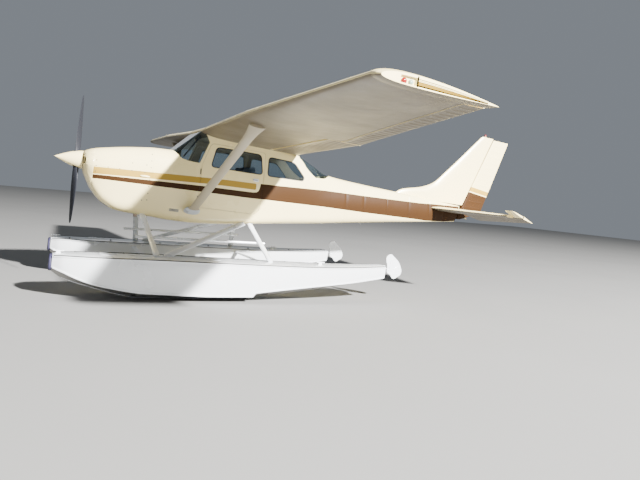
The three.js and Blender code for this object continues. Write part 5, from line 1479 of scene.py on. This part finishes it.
def hull_rings(x):
    """Closed sections of a float at x: crowned deck, bulged side, then the V of the bottom, with the port
    side mirrored: side y = deck + (chine - deck) s + bulge sin(pi s)."""
    deck, chine, z_deck, z_chine, z_keel = np.moveaxis(float_at(x), -1, 0)[..., None]
    edge = np.array([0.0, 0.3, 0.6, 0.86, 0.955, 0.985, 1.0])
    crown = np.array([1.0, 0.93, 0.8, 0.28, 0.05, -0.2, -0.55])
    top = np.stack([deck * edge, z_deck + DECK_CROWN * crown], -1)
    s = np.linspace(0.12, 0.97, 7)
    side = np.stack([deck + (chine - deck) * s + SIDE_BULGE * np.sin(np.pi * s),
                     z_deck + (z_chine - z_deck) * s], -1)
    q = np.array([0, 0.03, 0.1, 0.25, 0.5, 0.75, 0.93, 1.0])
    sag = np.interp(q, [0, 0.5, 1], [0, 12, 0])
    under = np.stack([chine * (1 - q), z_chine + (z_keel - z_chine) * q + sag], -1)
    right = np.concatenate([top, side, under], 1)
    left = right[:, 1:-1][:, ::-1] * [-1, 1]
    ring = np.concatenate([right, left], 1)
    return np.concatenate([np.broadcast_to(x[:, None, None], (*ring.shape[:2], 1)), ring], -1)


float_x = np.unique(np.concatenate([np.linspace(-1236, -730, 22), np.linspace(-730, 1452, 36),
                                    np.linspace(1482, 3720, 40)]))
grid = hull_rings(float_x)
points, faces = shell(grid)
middles = np.array([points[f].mean(axis=0) for f in faces])
# 1 below the chine, where the bottom takes the painted shade.
colour = (middles[:, 2] < float_at(middles[:, 0])[:, 3] - 2).astype(int)


def off_centre(shape):
    """Moves a shape drawn on the centre line out to the starboard float."""
    return shape[0] + np.array([0, FLOAT_Y, 0]), shape[1]


pair("float_hull", *off_centre((points, faces)), [hull_white, hull_bottom_painted_shade], nodes="float", slot="float_metal",
     sharp=28, colour=colour)


def strip(path, shape):
    """A section (across, up) carried along a path of (x, y, z), upright."""
    path, shape = np.asarray(path, float), np.asarray(shape, float)
    ahead = np.gradient(path, axis=0) * [1, 1, 0]
    ahead /= np.linalg.norm(ahead, axis=1)[:, None]
    side = np.stack([ahead[:, 1], -ahead[:, 0], 0 * ahead[:, 0]], 1)
    grid = path[:, None] + side[:, None] * shape[None, :, :1] + np.array([0, 0, 1]) * shape[None, :, 1:]
    return shell(grid)


rail_x = np.linspace(-1220, 3705, 110)
deck, chine, z_deck, z_chine, z_keel = float_at(rail_x).T
EDGE_BEAD = [(-6, -9), (4, -9), (8, -4), (8, 3), (4, 7), (-6, 7)]
SEAM_SHADOW_STRIP = [(-8, -5), (8, -5), (7, 12), (-7, 12)]
CHINE_RAIL = [(-8, -9), (8, -11), (10, 0), (8, 9), (-8, 9)]
KEEL_RAIL = [(-12, -2), (12, -2), (12, 14), (-12, 14)]
beads = [strip(np.stack([rail_x, hand * (deck + 1), z_deck - 4], 1), EDGE_BEAD) for hand in (1, -1)]
# A dark strip along each deck edge stands for the seam there and the shadow in it: partly painted shadow.
seam_shadow_strips = [strip(np.stack([rail_x, hand * (deck - 13), z_deck + 2], 1), SEAM_SHADOW_STRIP) for hand in (1, -1)]
pair("deck_edge_bead", *off_centre(joined(*beads)), [hull_white], slot="float_metal", sharp=40)
pair("deck_edge_seam_and_shadow", *off_centre(joined(*seam_shadow_strips)), [rubber_and_seam_shadow], slot="rubber", sharp=40)
bars = [strip(np.stack([rail_x, hand * (chine + 1), z_chine + 4], 1), CHINE_RAIL) for hand in (1, -1)]
keel_x = np.linspace(-1100, 1452, 50)
bars.append(strip(np.stack([keel_x, 0 * keel_x, float_at(keel_x)[:, 4] + 2], 1), KEEL_RAIL))
pair("chine_and_keel_rails", *off_centre(joined(*bars)), [aluminium], slot="float_metal", sharp=40)

s = np.linspace(0, 1, 9)
reach = 1 - (1 - s) ** 2
bump_x = -1236.3 - 40 * reach
scale = 1 - 0.26 * s ** 3
side = np.linspace(0, 2 * np.pi, 29)[:-1]
soft = lambda v: np.sign(v) * np.abs(v) ** 0.7
wide, tall = 140 * scale, 108 * scale
grid = np.stack([np.repeat(bump_x[:, None], 28, 1), wide[:, None] * soft(np.cos(side)),
                 -702 + tall[:, None] * soft(np.sin(side))], -1)
pair("bow_bumper_block", *off_centre(shell(grid)), [navy_rubber],
     nodes="bow_bumper", slot="rubber", sharp=50)


def plate(outline, y0, y1, soft=1.5):
    """A flat plate from a side view outline of x and z, its edges eased."""
    outline = np.asarray(outline, float)
    middle = outline.mean(axis=0)
    reach = np.linalg.norm(outline - middle, axis=1)[:, None]
    inner = middle + (outline - middle) * (1 - soft / reach)
    rings = [(inner, y0), (outline, y0 + soft), (outline, y1 - soft), (inner, y1)]
    return shell(np.stack([np.stack([o[:, 0], np.full(len(o), y), o[:, 1]], 1) for o, y in rings]))


CLEAT = [(-35, -14), (-30, 8), (-20, 24), (-71, 30), (-71, 40), (71, 40), (71, 30), (20, 24), (30, 8),
         (35, -14)]
cleats = [plate([(x + dx, deck_height(x) + dz) for dx, dz in CLEAT], -11, 11, 2) for x in (-1168, 2614)]
pair("mooring_cleats", *off_centre(joined(*cleats)), [aluminium], sharp=40)
lid = upright(lathe([(-6, 118), (4, 118), (8, 112), (9, 88)], 48))
lids = [moved(lid, (x, 0, deck_height(x))) for x in (-560, 900)]
cap = upright(lathe([(-8, 15), (5, 16), (12, 13), (17, 6)], 20))
caps = [moved(cap, (x, -0.55 * float_at([x])[0, 0], deck_height(x, 150) - 3))
        for x in (-960, -330, 480, 1330, 2080, 2900, 3420)]
pair("deck_hatches", *off_centre(joined(*lids)), [hull_white], sharp=30)
pair("bilge_caps", *off_centre(joined(*caps)), [rubber_and_seam_shadow], sharp=50)


def side_spots(x, share):
    """Places on a float's side, the given share of the way from the deck edge down to the chine."""
    deck, chine, z_deck, z_chine, _ = float_at(x).T
    y = deck + (chine - deck) * share + SIDE_BULGE * np.sin(np.pi * share)
    return np.stack([x, y, z_deck + (z_chine - z_deck) * share], 1)


outer = np.vstack([*(side_spots(np.arange(-1180, 3690, 44.0), share) for share in (0.10, 0.93)),
                   *(side_spots(np.full(9, x), np.linspace(0.16, 0.88, 9))
                     for x in np.arange(-900, 3600, 450.0))])
rivets = studs(np.vstack([outer, outer * [1, -1, 1]]),
               np.repeat([[0.0, 1.0, 0.0], [0.0, -1.0, 0.0]], len(outer), 0), 3.6, 1.6)
pair("float_rivets", *off_centre(rivets), [hull_white])

# Float struts, rails and spreader bars: the same drawn tube, footed on the decks' fittings.
FRONT_TOP, FRONT_FOOT = (-60, 330, 20), (92, FLOAT_Y, deck_height(92.0) + 4)
REAR_TOP, REAR_FOOT = (1600, 420, 62), (1785, FLOAT_Y, deck_height(1785.0) + 4)
DIAGONAL_TOP, DIAGONAL_FOOT = (1495, 430, 62), (215, FLOAT_Y, deck_height(215.0) + 6)
for name, top, foot, wide, thick in (
    ("front", FRONT_TOP, FRONT_FOOT, 84, 40), ("rear", REAR_TOP, REAR_FOOT, 84, 40),
    ("diagonal", DIAGONAL_TOP, DIAGONAL_FOOT, 90, 40),
):
    table = [(0.0, wide, thick), (0.05, wide + 8, thick + 6), (0.12, wide + 8, thick + 6),
             (0.125, wide, thick), (0.5, wide, thick), (0.875, wide, thick), (0.88, wide + 8, thick + 6),
             (0.96, wide + 8, thick + 6), (1.0, wide - 10, thick)]
    points, faces = spar(between(top, foot, table), count=24)
    pair(f"float_strut_tube_{name}", points, faces, [aluminium], nodes=f"float_strut_{name}", slot="strut",
         sharp=40)

RAIL_FRONT, RAIL_REAR = np.array([-170, 711.4, -294]), np.array([1785, 720.9, -203.0])
pair("float_rail_tube", *rod(RAIL_FRONT, RAIL_REAR, 19), [aluminium], nodes="float_rail", slot="strut",
     sharp=40)
for name, x, z in (("front", 30, -590), ("rear", 1820, -515)):
    deck, chine, z_deck, z_chine, _ = float_at([x])[0]
    inner = np.interp(z, [z_chine, z_deck], [chine, deck])
    end = FLOAT_Y - inner - 6
    table = [(0, 76, 40), (0.03, 84, 46), (0.06, 84, 46), (0.065, 76, 40), (0.935, 76, 40), (0.94, 84, 46),
             (0.97, 84, 46), (1, 76, 40)]
    points, faces = spar(between((x, -end, z), (x, end, z), table), count=24)
    piece = make(f"spreader_tube_{name}", points, faces, [aluminium], sharp=40)
    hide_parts(f"spreader_bar_{name}")

# Water rudders: a steering post between two stern plates, and a pressed blade drawn up on it.
POST_X, POST_LOW, POST_HIGH = 3785.0, -442.0, -346.0
BLADE_PIVOT = np.array([3878.0, -405.0])
WATER_BLADE = [(-34, -8), (-22, -44), (18, -62), (48, -80), (84, -126), (113, -138), (149, -129),
               (175, -105), (210, -86), (241, -64), (256, -17), (255, 15), (229, 78), (198, 128),
               (156, 176), (108, 211), (66, 239), (31, 268), (0, 271), (-38, 253), (-66, 222), (-72, 190),
               (-62, 140), (-40, 100), (-30, 34)]

post = joined(rod((POST_X, 0, POST_LOW), (POST_X, 0, POST_HIGH), 20, 24),
              block(POST_X - 12, POST_X + 12, -90, 90, POST_HIGH - 30, POST_HIGH - 22))
pair("water_rudder_steering_post", *off_centre(post), [aluminium],
     ("water_rudder_post_right", "water_rudder_post_left"),
     "water_rudder_post", "strut", sharp=40)
stern_plan = np.array([(3660, -34), (3795, -24), (3804, 0), (3795, 24), (3660, 34)], float)
plates = [shell(np.stack([np.column_stack([stern_plan, np.full(5, z)]) for z in (low, low + 8)]))
          for low in (POST_LOW - 14, POST_HIGH + 6)]
pair("stern_plates", *off_centre(joined(*plates)), [aluminium], sharp=30)
bolt = quarter(lathe([(-16, 7), (-15, 11), (15, 11), (16, 7)], 20))
pivot_x, pivot_z = BLADE_PIVOT
stiffeners = [rod((pivot_x + dx0, y, pivot_z + dz0), (pivot_x + dx1, y, pivot_z + dz1), 4)
              for y in (-6, 6)
              for dx0, dz0, dx1, dz1 in ((10, 30, 40, 210), (60, 0, 170, 90), (40, -40, 190, -60))]
pair("water_rudder_trim", *off_centre(joined(moved(bolt, (pivot_x, 0, pivot_z)), *stiffeners)), [aluminium],
     ("water_rudder_right", "water_rudder_left"))
blade_line = rounded(WATER_BLADE, 26, 5) + BLADE_PIVOT
pair("water_rudder_blade", *off_centre(plate(blade_line, -6, 6, 3)), [hull_white],
     ("water_rudder_right", "water_rudder_left"),
     "water_rudder", "float_metal", sharp=40)
